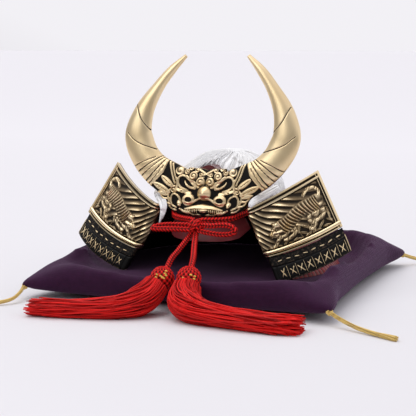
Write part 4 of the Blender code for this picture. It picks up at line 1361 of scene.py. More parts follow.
@dataclass
class Crest:
    """Horned crescent with a lion face, one casting with a flat back."""

    look: bpy.types.Material
    spread: float = 60.4 * MM
    height: float = 104.0 * MM
    foot_z: float = 50.22 * MM
    front: float = 44.4 * MM
    lean: float = 0.22
    thick: float = 5.2 * MM
    boss: float = 4.2 * MM
    fine: float = 1.0 * MM
    # x share of spread, z share of height, half width share of spread, thickness share, roundness
    crescent: tuple = (
        (0.000, 0.134, 0.230, 0.55, 0.0), (0.075, 0.147, 0.252, 0.55, 0.0),
        (0.182, 0.152, 0.251, 0.55, 0.0), (0.298, 0.164, 0.240, 0.60, 0.1),
        (0.421, 0.215, 0.189, 0.75, 0.4), (0.613, 0.280, 0.166, 0.95, 0.9),
        (0.748, 0.358, 0.159, 1.00, 1.0), (0.834, 0.450, 0.161, 1.00, 1.0),
        (0.854, 0.532, 0.147, 1.00, 1.0), (0.796, 0.661, 0.108, 0.85, 1.0),
        (0.662, 0.796, 0.068, 0.65, 1.0), (0.520, 0.904, 0.050, 0.50, 1.0),
        (0.361, 0.996, 0.020, 0.30, 1.0),
    )
    # x share of spread, z share of height, half width and half height shares of spread, height share
    lumps: tuple = (
        (0.000, 0.149, 0.085, 0.075, 1.00), (0.180, 0.106, 0.085, 0.050, 0.50),
        (0.060, 0.215, 0.060, 0.055, 0.62), (0.150, 0.243, 0.070, 0.050, 0.50),
        (0.300, 0.120, 0.070, 0.080, 0.35), (0.185, 0.190, 0.075, 0.040, 0.25),
        (0.000, 0.040, 0.210, 0.065, 0.50), (0.285, 0.068, 0.045, 0.055, 0.40),
        (0.470, 0.190, 0.090, 0.070, 0.30),
    )
    # Edge of the dark face ground: height above the floor and reach to each side, in millimetres
    ground: tuple = ((50.0, 30.0), (60.0, 31.5), (64.0, 37.0), (69.0, 38.5), (73.5, 34.0), (78.0, 30.0),
                     (88.0, 26.4), (90.0, 0.0))

    def face(self) -> list[Stroke | Curl]:
        """Right half of the face.

        Returns:
            Its strokes in millimetres from the middle and the floor.
        """
        groove = Cut.GROOVE
        turns = np.linspace(0.0, 2 * math.pi, 15)
        ring = [(10.9 + 3.5 * math.cos(a), 61.1 + 2.6 * math.sin(a)) for a in turns]
        strokes: list[Stroke | Curl] = [
            Stroke(((20.6, 66.4), (19.6, 70.6), (20.2, 74.6)), 1.2, 1.0, 0.6),
            Stroke(((6.6, 69.2), (10.2, 72.6), (13.4, 75.4), (16.4, 76.3), (18.8, 74.8), (19.2, 71.5),
                    (17.0, 68.6), (12.4, 66.6)), 0.90),
            Stroke(((4.8, 69.6), (9.0, 72.8), (13.4, 76.0)), 1.45, 0.98, 0.9),
            Stroke(((7.2, 68.3), (10.4, 68.8), (13.3, 70.8), (14.4, 72.8)), 1.15, 0.92, 0.5),
            Stroke(((10.9, 70.9), (11.3, 70.6)), 0.75, 0.95, cut=groove),
            Stroke(((10.4, 65.0), (14.8, 66.0), (19.4, 67.3)), 1.5, 0.95, 1.2),
            Stroke(((16.2, 66.2), (16.3, 66.2)), 0.6, 0.95, cut=groove),
            Stroke(tuple(ring), 1.25),
            Stroke(((0.0, 62.0), (2.6, 61.9), (4.8, 61.2), (7.2, 59.7), (9.8, 58.2), (12.8, 57.9),
                    (14.6, 60.0)), 0.95),
            Stroke(((-1.0, 57.0), (0.0, 57.0), (5.6, 56.6), (12.9, 55.0)), 2.6, 0.97, 0.7),
            Stroke(((1.6, 51.9), (6.2, 51.3), (9.6, 52.6)), 1.0, 0.95, 0.5),
            Stroke(((10.4, 52.6), (13.4, 53.3), (16.6, 54.9)), 1.4, 0.95, 0.7),
            Stroke(((16.0, 58.6), (17.8, 62.8), (21.4, 64.5), (23.4, 61.9), (22.7, 57.6),
                    (19.2, 55.6)), 0.75),
            Stroke(((17.4, 59.0), (16.7, 57.4)), 1.8, 0.98, 1.1),
            Stroke(((17.5, 58.2), (17.6, 58.2)), 0.5, 0.9, cut=groove),
            Stroke(((21.3, 69.4), (24.2, 67.0), (25.5, 63.6), (24.6, 59.2)), 0.75),
            Stroke(((22.8, 69.2), (31.2, 75.6)), 2.3, leaf=True),
            Stroke(((25.0, 65.2), (36.6, 71.0)), 2.5, leaf=True),
            Stroke(((26.4, 63.4), (33.0, 65.4)), 1.5, leaf=True),
            Stroke(((24.4, 70.4), (29.8, 74.5)), 0.24, 0.8, cut=groove),
            Stroke(((26.6, 66.0), (34.6, 70.0)), 0.24, 0.8, cut=groove),
            Curl(22.2, 66.9, 1.9, 1.0),
            Stroke(((24.9, 61.2), (28.4, 61.2), (31.0, 63.2)), 1.0, 0.95, 0.5),
            Stroke(((23.6, 57.6), (26.4, 58.3), (28.6, 60.2)), 1.0, 0.95, 0.5),
            Stroke(((19.6, 53.9), (22.2, 54.7), (24.6, 56.6)), 0.95, 0.95, 0.5),
            Stroke(((25.9, 84.6), (23.9, 77.5), (21.3, 71.2)), 0.72),
            Stroke(((23.9, 83.6), (22.0, 77.5), (20.3, 73.4)), 0.62),
            Stroke(((0.2, 77.6), (3.0, 79.3), (7.5, 81.4), (12.5, 82.8), (19.0, 83.9)), 0.75),
            Curl(3.4, 72.5, 3.5), Curl(8.6, 76.3, 3.2), Curl(13.4, 78.7, 2.2), Curl(18.4, 79.4, 3.3, 1.0),
            Curl(3.4, 77.3, 1.6, 1.0), Curl(6.4, 80.0, 1.8, 1.0), Curl(10.6, 81.2, 1.7, 1.0),
            Curl(14.6, 82.2, 1.5, 1.0),
            Stroke(((0.0, 65.4), (0.1, 65.4)), 4.9, 1.0, cut=Cut.ROUND),
        ]
        for i in range(10):
            x = 0.3 + 1.3 * i
            low = 54.0 - 0.006 * x * x
            strokes.append(Stroke(((x, low + 0.9), (x, low - 1.0)), 0.62, 0.95, 0.15))
        return strokes

    def horn(self) -> list[Stroke]:
        """Engraved lines of the horn and its ribbed root, on the right side.

        Returns:
            Their strokes.
        """
        groove = Cut.GROOVE
        return [
            Stroke(((53.6, 121.5), (49.2, 112.5), (42.0, 104.0)), 0.55, 0.95, cut=groove),
            Stroke(((58.4, 103.2), (50.7, 97.2), (37.2, 92.4)), 0.55, 0.95, cut=groove),
            Stroke(((52.4, 80.6), (44.4, 84.6), (36.6, 87.6)), 0.50, 0.95, cut=groove),
            Stroke(((48.4, 77.6), (40.0, 83.6), (31.6, 88.6)), 0.70, 1.0, 0.5, groove),
            Stroke(((46.2, 74.6), (38.6, 81.2), (30.4, 87.7)), 0.55, 1.0, 0.4, groove),
            Stroke(((43.4, 70.4), (36.4, 78.4), (28.9, 86.8)), 0.95, 1.0, 0.4, groove),
            Stroke(((40.4, 69.6), (34.6, 76.6), (30.2, 82.4)), 0.55, 1.0, 0.3, groove),
        ]

    def row(self, c: Array) -> tuple[Array, Array]:
        """Crescent's values and tangent.

        Args:
            c: Places from -1 at the left tip to 1 at the right one.

        Returns:
            Rows of the crescent and plane tangents, both for the right half.
        """
        rows = np.array(self.crescent)
        share = np.abs(c)
        here = curve_at(rows, share)
        near = 0.004
        step = curve_at(rows, np.minimum(share + near, 1.0)) - curve_at(rows, np.maximum(share - near, 0.0))
        tangent = unit(np.column_stack([step[:, 0] * self.spread, step[:, 1] * self.height]))
        return here, np.where(share[:, None] < near, np.array([1.0, 0.0]), tangent)

    def relief(self, x: Array, z: Array) -> tuple[Array, Array]:
        """Relief of the crest's front.

        Args:
            x: Distances from its middle, in metres.
            z: Heights above the floor.

        Returns:
            Height of the broad lumps in metres, and the fine relief from 0 to 1.
        """
        across, up = np.abs(x) / self.spread, (z - self.foot_z) / self.height
        squeeze = self.height / self.spread
        broad = np.zeros(len(x))
        for at_x, at_z, wide, tall, share in self.lumps:
            broad = np.maximum(broad, share * np.exp(-((across - at_x) / wide) ** 2
                                                     - ((up - at_z) * squeeze / tall) ** 2))
        at = np.column_stack([np.abs(x), z]) / MM
        rows = np.array(self.ground)
        fine = smoothstep(-0.4, 0.4, at[:, 0] - np.interp(at[:, 1], rows[:, 0], rows[:, 1]))
        for stroke in [*self.face(), *self.horn()]:
            fine = stroke.carve(at, fine)
        return broad * self.boss, fine

    def build(self) -> None:
        """Make the casting."""
        front = np.linspace(-1.0, 1.0, 96)
        ring = np.concatenate([front, [2.0, 2.5, 3.0], [-1.0]])
        halves = joined((0.0, 0.44, 150), (0.44, 1.0, 250))
        stations = np.concatenate([-halves[:0:-1], halves])
        foot_y = -self.front + 0.55 * self.thick

        def place(q: Array, c: Array) -> tuple[Array, Array]:
            """Front points for q from -1 to 1, back points beyond.

            Args:
                q: Values round the section.
                c: Places along the crescent.

            Returns:
                Points in metres and their height attribute.
            """
            behind = q > 1.5
            q = np.where(behind, 5.0 - 2.0 * q, q)
            here, tangent = self.row(c)
            half = here[:, 2] * self.spread
            x = here[:, 0] * self.spread + tangent[:, 1] * half * q
            z = self.foot_z + here[:, 1] * self.height - tangent[:, 0] * half * q
            back = foot_y + self.lean * (z - self.foot_z)
            plate = np.sqrt(np.clip(1.0 - np.abs(q) ** 8, 0.0, 1.0))
            horn = np.sqrt(np.clip(1.0 - q * q, 0.0, 1.0))
            body = plate + (horn - plate) * here[:, 4]
            edge = 0.75 + (0.22 - 0.75) * here[:, 4]
            thick = here[:, 3] * self.thick * (edge + (1.0 - edge) * body)
            broad, fine = self.relief(x, z)
            broad = broad * np.clip(1.0 - here[:, 4] * 1.5, 0.0, None) * plate
            flat = 1.0 - np.clip((here[:, 4] - 0.3) / 0.6, 0.0, 1.0)
            depth = self.fine * (0.35 + 0.65 * flat)
            y = np.where(behind, back, back - thick - broad - depth * (fine - 0.5 * (1.0 - flat)))
            hand = np.where(c < 0, -1.0, 1.0)
            return np.column_stack([hand * x, y, z]), np.where(behind, 0.8, fine)

        put("lion_crest", loft("crest", ring, stations, place, 50.0), self.look, Slot.BRASS, "crest")


@dataclass
class Bowl:
    """Helmet bowl's outer form, which carries the hair."""

    half_width: float = 37.0 * MM
    half_length: float = 40.0 * MM
    centre_y: float = 3.0 * MM
    rim_z: float = 55.02 * MM
    rise: float = 31.0 * MM
    squareness: float = 2.2

    def point(self, theta: Array, level: Array, grow: Array) -> Array:
        """Points of the bowl grown by a clearance.

        Args:
            theta: Turns round the bowl.
            level: 0 at the rim and 1 at the top.
            grow: Clearance in metres.

        Returns:
            Points in metres.
        """
        angle = level * math.pi / 2
        ring = np.clip(np.cos(angle), 0.0, None) ** (2.0 / self.squareness)
        rise = np.sin(angle) ** (2.0 / self.squareness)
        return np.stack([(self.half_width + grow) * ring * np.cos(theta),
                         self.centre_y + (self.half_length + grow) * ring * np.sin(theta),
                         self.rim_z + (self.rise + grow) * rise], axis=-1)


@dataclass
class Hair:
    """White hair over the bowl, in locks that fall to its rim and before the cheek plates."""

    look: bpy.types.Material
    bowl: Bowl
    standoff: float = 1.15 * MM
    thick: float = 6.0 * MM
    locks: int = 44
    strands: int = 26
    stations: int = 16
    crest_y: float = -44.4 * MM
    crest_z: float = 50.22 * MM
    crest_thick: float = 5.2 * MM
    crest_gap: float = 0.8 * MM
    lean: float = 0.22
    cap_grid: tuple[int, int] = (88, 13)
    strap_hairs: int = 54
    toward: tuple[float, float, float] = (0.359, -0.923, 0.138)
    # Routes of the flat locks in millimetres, with half widths and half thicknesses
    straps: tuple = (
        ((-37.5, -20.0, 66.5, 2.4, 1.0), (-35.8, -34.0, 63.6, 2.6, 0.9), (-32.4, -39.8, 61.4, 2.6, 0.8),
         (-27.4, -46.5, 57.4, 2.3, 0.7), (-26.6, -49.6, 51.8, 1.3, 0.6), (-28.4, -50.8, 45.6, 0.2, 0.3)),
        ((39.5, -10.0, 67.4, 1.9, 1.0), (38.0, -24.0, 65.8, 2.1, 0.9), (36.6, -36.0, 64.0, 2.2, 0.8),
         (35.4, -44.4, 62.8, 2.0, 0.7), (34.4, -48.2, 61.2, 1.5, 0.6), (33.6, -49.8, 59.0, 0.8, 0.4)),
    )

    def body(self, theta: Array, level: Array) -> Array:
        """Share of the full thickness, thin over the ears and at the crown."""
        flank = np.cos(theta) ** 2 * (1.0 - smoothstep(0.55, 0.95, level))
        return (1.0 - 0.75 * flank) * (1.0 - 0.45 * smoothstep(0.75, 1.0, level))

    def hem(self, theta: Array) -> Array:
        """Level of the hair's lower edge, high over the crest holder."""
        away = np.abs(np.degrees(np.arctan2(np.cos(theta), -np.sin(theta))))
        return 0.06 + 0.50 * (1.0 - smoothstep(4.0, 46.0, away))

    def behind_crest(self, points: Array) -> Array:
        """Keep points behind the crest's back.

        Args:
            points: Points in metres, which are moved.

        Returns:
            The same points.
        """
        back = self.crest_y + 0.55 * self.crest_thick + self.crest_gap
        back = back + self.lean * (points[..., 2] - self.crest_z)
        points[..., 1] = np.maximum(points[..., 1], back)
        return points

    def cap(self) -> bpy.types.Mesh:
        """Smooth under-hair that fills the locks.

        Returns:
            The mesh.
        """
        around, up = self.cap_grid
        rows = np.linspace(0.0, 1.0, up + 1)
        stations = np.linspace(0.0, 2 * math.pi, around + 1)
        builder = bmesh.new()
        for outer in (True, False):
            for vert, column, row in grid_points(builder, around, up):
                theta = np.array([stations[column] % (2 * math.pi)])
                share = rows[row]
                hem = self.hem(theta) + 0.015
                level = hem + (1.0 - hem) * share
                full = 0.52 * self.thick * (0.45 + 0.55 * min(1.0, 5 * share)) * self.body(theta, level)
                grow = self.standoff + full * float(outer)
                vert.co = self.behind_crest(self.bowl.point(theta, level, grow))[0]
        bmesh.ops.remove_doubles(builder, verts=builder.verts, dist=1e-7)
        edges = [edge for edge in builder.edges if edge.is_boundary]
        bmesh.ops.bridge_loops(builder, edges=edges)
        mesh = hand_mesh("hair cap", builder)
        set_height(mesh, np.full(len(mesh.vertices), 0.75))
        return mesh

    def combed(self) -> bpy.types.Mesh:
        """Strands combed from the crown down to the tips of the locks.

        Returns:
            The mesh.
        """
        chance = np.random.default_rng(11)
        count = self.locks * self.strands
        lock = np.repeat(np.arange(self.locks), self.strands)
        centre = 2 * math.pi * (lock + 0.5) / self.locks
        off = (chance.random(count) - 0.5) * 2 * math.pi / self.locks * 1.5
        share = np.linspace(0.0, 1.0, self.stations)[None]
        gather = 1.0 - 0.75 * smoothstep(0.70, 1.0, share)
        swirl = 0.55 * (1.0 - share) ** 1.6
        theta = centre[:, None] + off[:, None] * gather + swirl
        hem = self.hem(centre)[:, None] - 0.03 + 0.05 * chance.random(count)[:, None]
        level = 0.985 - (0.985 - hem) * share ** 0.9
        layer = chance.random(count)[:, None]
        bulge = 0.80 + 0.25 * np.cos(math.pi * off * self.locks / (2 * math.pi))[:, None]
        tuck = 1.0 - 0.45 * smoothstep(0.75, 1.0, share)
        grow = self.standoff + self.thick * (0.42 + 0.30 * layer) * bulge * tuck * self.body(theta, level)
        paths = self.behind_crest(self.bowl.point(theta, np.clip(level, 0.0, 1.0), grow))
        radii = 0.42 * MM * (1.0 - 0.75 * smoothstep(0.6, 1.0, share)) * np.ones((count, 1))
        shades = 0.55 + 0.45 * chance.random(count)
        return bundle("combed hair", paths, radii, shades, 3)

    def falling(self) -> bpy.types.Mesh:
        """Flat locks that hang before the ears.

        Returns:
            The mesh.
        """
        chance = np.random.default_rng(12)
        share = np.linspace(0.0, 1.0, 26)
        paths, radii, shades = [], [], []
        for route in self.straps:
            rows = curve_at(np.array(route) * MM, share)
            side, above = sideways(unit(np.gradient(rows[:, :3], axis=0)), self.toward)
            for _ in range(self.strap_hairs):
                across, over = 2.0 * chance.random() - 1.0, 2.0 * chance.random() - 1.0
                sway = 0.10 * np.sin(5.0 * share + 6.0 * chance.random())
                oval = math.sqrt(1.0 - 0.8 * across ** 2)
                paths.append(rows[:, :3] + side * (rows[:, 3] * (across + sway))[:, None]
                             + above * (rows[:, 4] * over * oval)[:, None])
                radii.append(0.36 * MM * (1.0 - 0.6 * smoothstep(0.85, 1.0, share)))
                shades.append(0.25 + 0.6 * chance.random())
        return bundle("falling locks", np.array(paths), np.array(radii), np.array(shades), 4)

    def build(self) -> None:
        """Make the hair."""
        put("hair_cap", self.cap(), self.look, Slot.HAIR, "hair")
        put("hair_strands", self.combed(), self.look, Slot.HAIR)
        put("hair_locks", self.falling(), self.look, Slot.HAIR)


@dataclass
class Tassel:
    """Netted red ball on the end of a cord with its long skirt of threads."""

    side: Side
    looks: Looks
    centre: tuple[float, float, float]
    skirt: tuple
    diameter: float = 15.4 * MM
    width: float = 15.0 * MM
    meshes: float = 13.0
    winds: float = 6.0
    threads: int = 210
    thread: float = 0.42 * MM
    stations: int = 34

    @property
    def middle(self) -> Array:
        """Centre of the ball in metres."""
        return np.array(self.centre) * MM

    def ball(self) -> bpy.types.Mesh:
        """Ball covered by a knotted net.

        Returns:
            The mesh.
        """
        ring = np.linspace(0.0, 1.0, 205)
        stations = np.linspace(0.004, 0.996, 104)
        radius = self.diameter / 2

        def place(turn: Array, down: Array) -> tuple[Array, Array]:
            """Points of the ball with two crossing families of cords.

            Args:
                turn: Turns round the ball.
                down: Shares of the way down it.

            Returns:
                Points in metres and their height attribute.
            """
            polar = math.pi * down
            lift = np.zeros(len(turn))
            for way in (-1.0, 1.0):
                phase = self.meshes * turn + way * self.winds * down
                cord = np.abs(np.cos(math.pi * phase))
                over = 0.5 + 0.5 * np.cos(2 * math.pi * (self.meshes * turn - way * self.winds * down))
                lift = np.maximum(lift, cord ** 1.1 * (0.62 + 0.38 * over))
            grain = 0.08 * np.sin(2 * math.pi * 52 * turn) * np.sin(2 * math.pi * 30 * down)
            net = np.clip(lift + grain, 0.0, 1.0)
            azimuth = 2 * math.pi * turn
            outward = np.column_stack([np.sin(polar) * np.cos(azimuth), np.sin(polar) * np.sin(azimuth),
                                       np.cos(polar)])
            # painted shade: the height attribute net ** 1.8 darkens the gaps of the net and where cords pass
            # under
            return self.middle + (radius * (0.87 + 0.13 * net))[:, None] * outward, net ** 1.8

        return loft(f"ball {self.side.word}", ring, stations, place)

    def gilding(self) -> bpy.types.Mesh:
        """Gold threads that show through the net on the front of the ball.

        Returns:
            The mesh.
        """
        chance = np.random.default_rng(30 + self.side.value)
        paths, radius = [], self.diameter / 2
        count = 9 if self.side is Side.LEFT else 5
        for _ in range(count):
            azimuth = math.radians(-90.0 + 62.0 * (chance.random() - 0.5) + 22.0)
            rise = math.radians(4.0 + 50.0 * chance.random())
            spot = np.array([math.cos(rise) * math.cos(azimuth), math.cos(rise) * math.sin(azimuth),
                             math.sin(rise)])
            along = unit(np.cross(spot, (0.3, 0.1, 1.0))) * 0.8 * MM
            share = np.linspace(-1.0, 1.0, 7)[:, None]
            paths.append(self.middle + spot * (radius - 0.10 * MM - 0.35 * MM * share ** 2) + along * share)
        radii = np.full((count, 7), 0.62 * MM) * np.sqrt(1.0 - 0.8 * np.linspace(-1.0, 1.0, 7) ** 2)
        shades = 0.4 + 0.6 * chance.random(count)
        return bundle(f"gilding {self.side.word}", np.array(paths), radii, shades, 6)

    def rows(self) -> Array:
        """Middle line of the skirt.

        Returns:
            Rows of x, y and z, half width and half height, from the ball outward.
        """
        rows = np.array(self.skirt) * MM
        outward = unit(rows[0, :3] - self.middle)
        root = self.middle + outward * self.diameter / 2 * 0.72
        return np.vstack([[*root, 0.50 * self.width, 0.45 * self.width], rows])

    def fringe(self) -> bpy.types.Mesh:
        """Threads of the skirt, which spread and lie on the floor.

        Returns:
            The mesh.
        """
        chance = np.random.default_rng(20 + self.side.value)
        rows = self.rows()
        share = np.linspace(0.0, 1.0, self.stations)
        ends = 1.0 - 0.13 * chance.random(self.threads) ** 2
        radius = np.sqrt(chance.random(self.threads))
        radius[: self.threads // 2] = 0.86 + 0.14 * chance.random(self.threads // 2)
        angle = 2 * math.pi * chance.random(self.threads)
        paths = np.empty((self.threads, self.stations, 3))
        for i in range(self.threads):
            at = curve_at(rows, share * ends[i])
            side, above = sideways(unit(np.gradient(at[:, :3], axis=0)), (0.0, 0.0, 1.0))
            drift = angle[i] + 0.75 * np.sin(2.6 * share + 6.0 * chance.random()) * share
            loose = 1.0 + 0.20 * np.sin(9.0 * share + 6.0 * chance.random()) * share
            loose = loose + (0.55 * chance.random() - 0.15) * share ** 7
            paths[i] = at[:, :3] + side * (1.10 * at[:, 3] * radius[i] * loose * np.cos(drift))[:, None] \
                + above * (1.12 * at[:, 4] * radius[i] * loose * np.sin(drift))[:, None]
        paths[..., 2] = np.maximum(paths[..., 2], self.thread)
        radii = np.full((self.threads, self.stations), self.thread)
        radii[:, -1] *= 0.6
        shades = 0.15 + 0.85 * chance.random(self.threads)
        return bundle(f"fringe {self.side.word}", paths, radii, shades, 5)

    def core(self) -> bpy.types.Mesh:
        """Solid middle of the skirt that keeps it from looking hollow.

        Returns:
            The mesh.
        """
        rows, reach = self.rows(), 0.93

        def place(turn: Array, t: Array) -> tuple[Array, Array]:
            """Points of an oval bar inside the threads.

            Args:
                turn: Turns round the bar.
                t: Shares of the way along it.

            Returns:
                Points in metres and their height attribute.
            """
            at = curve_at(rows, t * reach)
            ahead = unit((curve_at(rows, t * reach + 0.01) - curve_at(rows, t * reach - 0.01))[:, :3])
            side, above = sideways(ahead, (0.0, 0.0, 1.0))
            angle = 2 * math.pi * turn
            points = at[:, :3] + side * (0.80 * at[:, 3] * np.cos(angle))[:, None] \
                + above * (0.80 * at[:, 4] * np.sin(angle))[:, None]
            points[:, 2] = np.maximum(points[:, 2], 0.1 * MM)
            # painted shade: zero height gives the core the tassel silk's darkest red, as shade inside the
            # skirt
            return points, np.zeros(len(turn))

        ring, stations = np.linspace(0.0, 1.0, 25), np.linspace(0.0, 1.0, 40)
        return loft(f"skirt core {self.side.word}", ring, stations, place)

    def build(self) -> list[bpy.types.Object]:
        """Make the tassel. Returns the pieces of its ball, for the cord that carries it."""
        word = self.side.word
        put(f"tassel_core_{word}", self.core(), self.looks.tassel, Slot.CORD, f"tassel_skirt_{word}")
        put(f"tassel_fringe_{word}", self.fringe(), self.looks.tassel, Slot.CORD)
        return [
            put(f"tassel_ball_{word}", self.ball(), self.looks.braid, Slot.CORD, f"tassel_head_{word}"),
            put(f"tassel_gilding_{word}", self.gilding(), self.looks.gold, Slot.CORD),
        ]


@dataclass
class RedCord:
    """Braided chin cord tied in a bow, with two tails that end in tassels."""

    looks: Looks
    diameter: float = 3.4 * MM
    ridge: float = 0.75 * MM
    pitch: float = 2.2 * MM
    columns: int = 4
    knot: tuple = (0.0, -57.0, 46.4)
    # Wraps of the knot: shift along x, lean and reach in millimetres, and first turn
    wraps: tuple = ((-2.4, 0.25, 2.6, 0.0), (2.3, -0.30, 2.6, 0.5), (0.0, 0.62, 3.1, 0.9))
    # Routes in millimetres, the same as the CAD's
    chin: tuple = (
        (-1.6, -56.2, 48.9), (-3.7, -54.7, 49.8), (-8.0, -52.7, 49.8), (-14.0, -49.4, 49.8),
        (-19.6, -45.0, 50.3), (-23.2, -38.0, 51.6), (-26.0, -28.0, 52.6), (-29.5, -16.0, 52.6),
        (-32.2, 0.0, 52.6), (-29.5, 18.0, 52.6), (-20.0, 32.0, 52.6), (0.0, 38.2, 52.6),
    )
    loop_left: tuple = (
        (-2.2, -57.0, 46.4), (-5.0, -57.2, 46.6), (-12.0, -57.9, 46.6), (-20.0, -58.3, 46.2),
        (-26.2, -58.6, 45.2), (-28.6, -60.0, 44.2), (-26.4, -61.8, 43.6), (-19.0, -62.0, 43.9),
        (-11.0, -61.2, 44.1), (-3.7, -59.9, 44.0), (-1.6, -58.6, 44.6),
    )
    loop_right: tuple = (
        (2.2, -57.0, 46.6), (5.0, -57.3, 47.0), (11.0, -58.6, 47.1), (17.0, -59.2, 48.0), (22.5, -59.6, 48.2),
        (26.6, -60.0, 46.7), (27.4, -60.3, 44.4), (24.0, -60.5, 42.8), (17.0, -60.3, 42.2),
        (10.5, -59.7, 42.6), (4.1, -58.6, 43.4), (2.0, -57.8, 44.4),
    )
    tail_left: tuple = (
        (-1.8, -57.4, 43.2), (-3.6, -58.6, 40.1), (-4.2, -61.6, 38.2), (-4.6, -67.0, 35.9),
        (-5.0, -76.0, 32.4), (-5.2, -85.0, 29.4),
    )
    tail_right: tuple = (
        (0.6, -57.4, 43.2), (0.5, -58.8, 40.3), (1.4, -61.8, 38.4), (3.0, -67.0, 36.4), (6.2, -76.0, 33.4),
        (9.4, -85.0, 30.8),
    )
    skirt_left: tuple = (
        (-8.8, -113.0, 11.8, 9.0, 7.2), (-13.0, -119.5, 8.4, 9.8, 7.4), (-20.5, -125.6, 6.5, 8.6, 6.2),
        (-32.0, -130.8, 5.4, 7.4, 5.2), (-47.0, -134.2, 4.8, 6.9, 4.6), (-62.0, -136.6, 4.4, 6.8, 4.2),
        (-76.0, -138.0, 3.8, 6.4, 3.6),
    )
    skirt_right: tuple = (
        (15.2, -113.2, 12.6, 9.0, 7.2), (19.4, -118.6, 8.9, 9.8, 7.6), (28.0, -122.8, 6.8, 8.6, 6.4),
        (42.0, -125.6, 5.7, 7.4, 5.4), (58.0, -127.0, 5.0, 6.9, 4.8), (76.0, -127.0, 4.5, 6.8, 4.3),
        (92.0, -126.0, 4.0, 6.4, 3.8),
    )

    def braid(self, name: str, points: Array) -> bpy.types.Mesh:
        """Round cord of plaited strands.

        Args:
            name: Name of the mesh.
            points: Close points of its middle line, in metres.

        Returns:
            The mesh.
        """
        side, above = tube_frames(points)
        arc = np.concatenate([[0.0], np.cumsum(np.linalg.norm(np.diff(points, axis=0), axis=1))])

        def place(turn: Array, station: Array) -> tuple[Array, Array]:
            """Points of the cord with its V-shaped grains.

            Args:
                turn: Turns round the cord.
                station: Numbers of the points along it.

            Returns:
                Points in metres and their height attribute.
            """
            index = np.rint(station).astype(int)
            column = turn * self.columns
            part = column - np.floor(column)
            part = np.where(np.floor(column) % 2 == 0, part, 1.0 - part)
            phase = arc[index] / self.pitch + 0.95 * part
            grain = np.abs(np.sin(math.pi * phase)) * np.abs(np.sin(math.pi * column)) ** 0.5
            radius = self.diameter / 2 + self.ridge * (grain - 0.70)
            angle = 2 * math.pi * turn
            # painted shade: the grain, low between the strands, gives the gaps of the plait the silk's
            # near-black end
            return points[index] + radius[:, None] * (side[index] * np.cos(angle)[:, None]
                                                      + above[index] * np.sin(angle)[:, None]), grain ** 1.3

        return loft(name, np.linspace(0.0, 1.0, 41), np.arange(len(points)), place)

    def lay(self, name: str, rows: Array, exit_point: Array, far_end: str, lay: str,
            with_pieces: list[bpy.types.Object]) -> bpy.types.Object:
        """One free cord.

        Args:
            name: CAD node that it replaces.
            rows: Its route in metres.
            exit_point: Where it leaves what holds it; not used.
            far_end: What is on its other end; not used.
            lay: How it lies; not used.
            with_pieces: Pieces on it; not used.

        Returns:
            The cord's object.
        """
        points = evenly(rows, 0.30 * MM)
        piece = put(f"braid_{name}", self.braid(name, points), self.looks.braid, Slot.CORD, name)
        length_of(points)
        return piece

    def bow_knot(self) -> bpy.types.Object:
        """Knot of the bow: wraps over the cords that cross in it.

        Returns:
            The knot's object.
        """
        middle = np.array(self.knot) * MM
        builder = bmesh.new()
        for shift, lean, reach, turn in self.wraps:
            angle = np.linspace(0.0, 2 * math.pi, 61) + turn
            ring = middle + MM * np.column_stack([
                shift + lean * reach * np.sin(angle), -reach * 0.82 * np.cos(angle), reach * np.sin(angle)])
            builder.from_mesh(self.braid("wrap", ring))
        mesh = mesh_of("bow knot", builder)
        mesh.shade_smooth()
        return put("bow_knot_wraps", mesh, self.looks.braid, Slot.CORD, "bow_knot")

    def build(self) -> None:
        """Make the cord, the bow and both tassels."""
        left = np.array(self.chin) * MM
        chin = np.vstack([left, left[-2::-1] * np.array([-1.0, 1.0, 1.0])])
        knot = self.bow_knot()
        middle = np.array(self.knot) * MM
        self.lay("chin_cord", chin, chin[0], "object", "loose", [])
        for name, route in (("bow_loop_left", self.loop_left), ("bow_loop_right", self.loop_right)):
            rows = np.array(route) * MM
            self.lay(name, rows, rows[0], "object", "hanging", [knot] if name.endswith("left") else [])
        for side, tail, centre, skirt in (
                (Side.LEFT, self.tail_left, (-4.0, -102.3, 20.2), self.skirt_left),
                (Side.RIGHT, self.tail_right, (13.5, -102.4, 21.6), self.skirt_right)):
            tassel = Tassel(side, self.looks, centre, skirt)
            pieces = tassel.build()
            rows = np.array(tail) * MM
            inward = unit(rows[-1] - tassel.middle)
            rows = np.vstack([rows, tassel.middle + inward * (tassel.diameter / 2)])
            self.lay(f"cord_tail_{side.word}", rows, rows[0], "knot", "hanging", pieces)
        LOG.info("bow tied at %s", np.round(middle / MM, 1))


@dataclass
class Dressing:
    """Better finishes for the CAD nodes that stay."""

    looks: Looks
    nodes: dict[str, bpy.types.Object] = field(default_factory=dict)

    def build(self) -> None:
        """Dress the bowl, its visor, the crest holder and the neck guard."""
        finishes = {"bowl": self.looks.bowl, "crest_holder": self.looks.bowl, "visor": self.looks.visor}
        finishes.update({f"lame_{number}": self.looks.lames for number in range(1, 5)})
        for name, look in finishes.items():
            for slot in self.nodes[name].material_slots:
                slot.material = look
            LOG.info("%s dressed as %s", name, look.name)


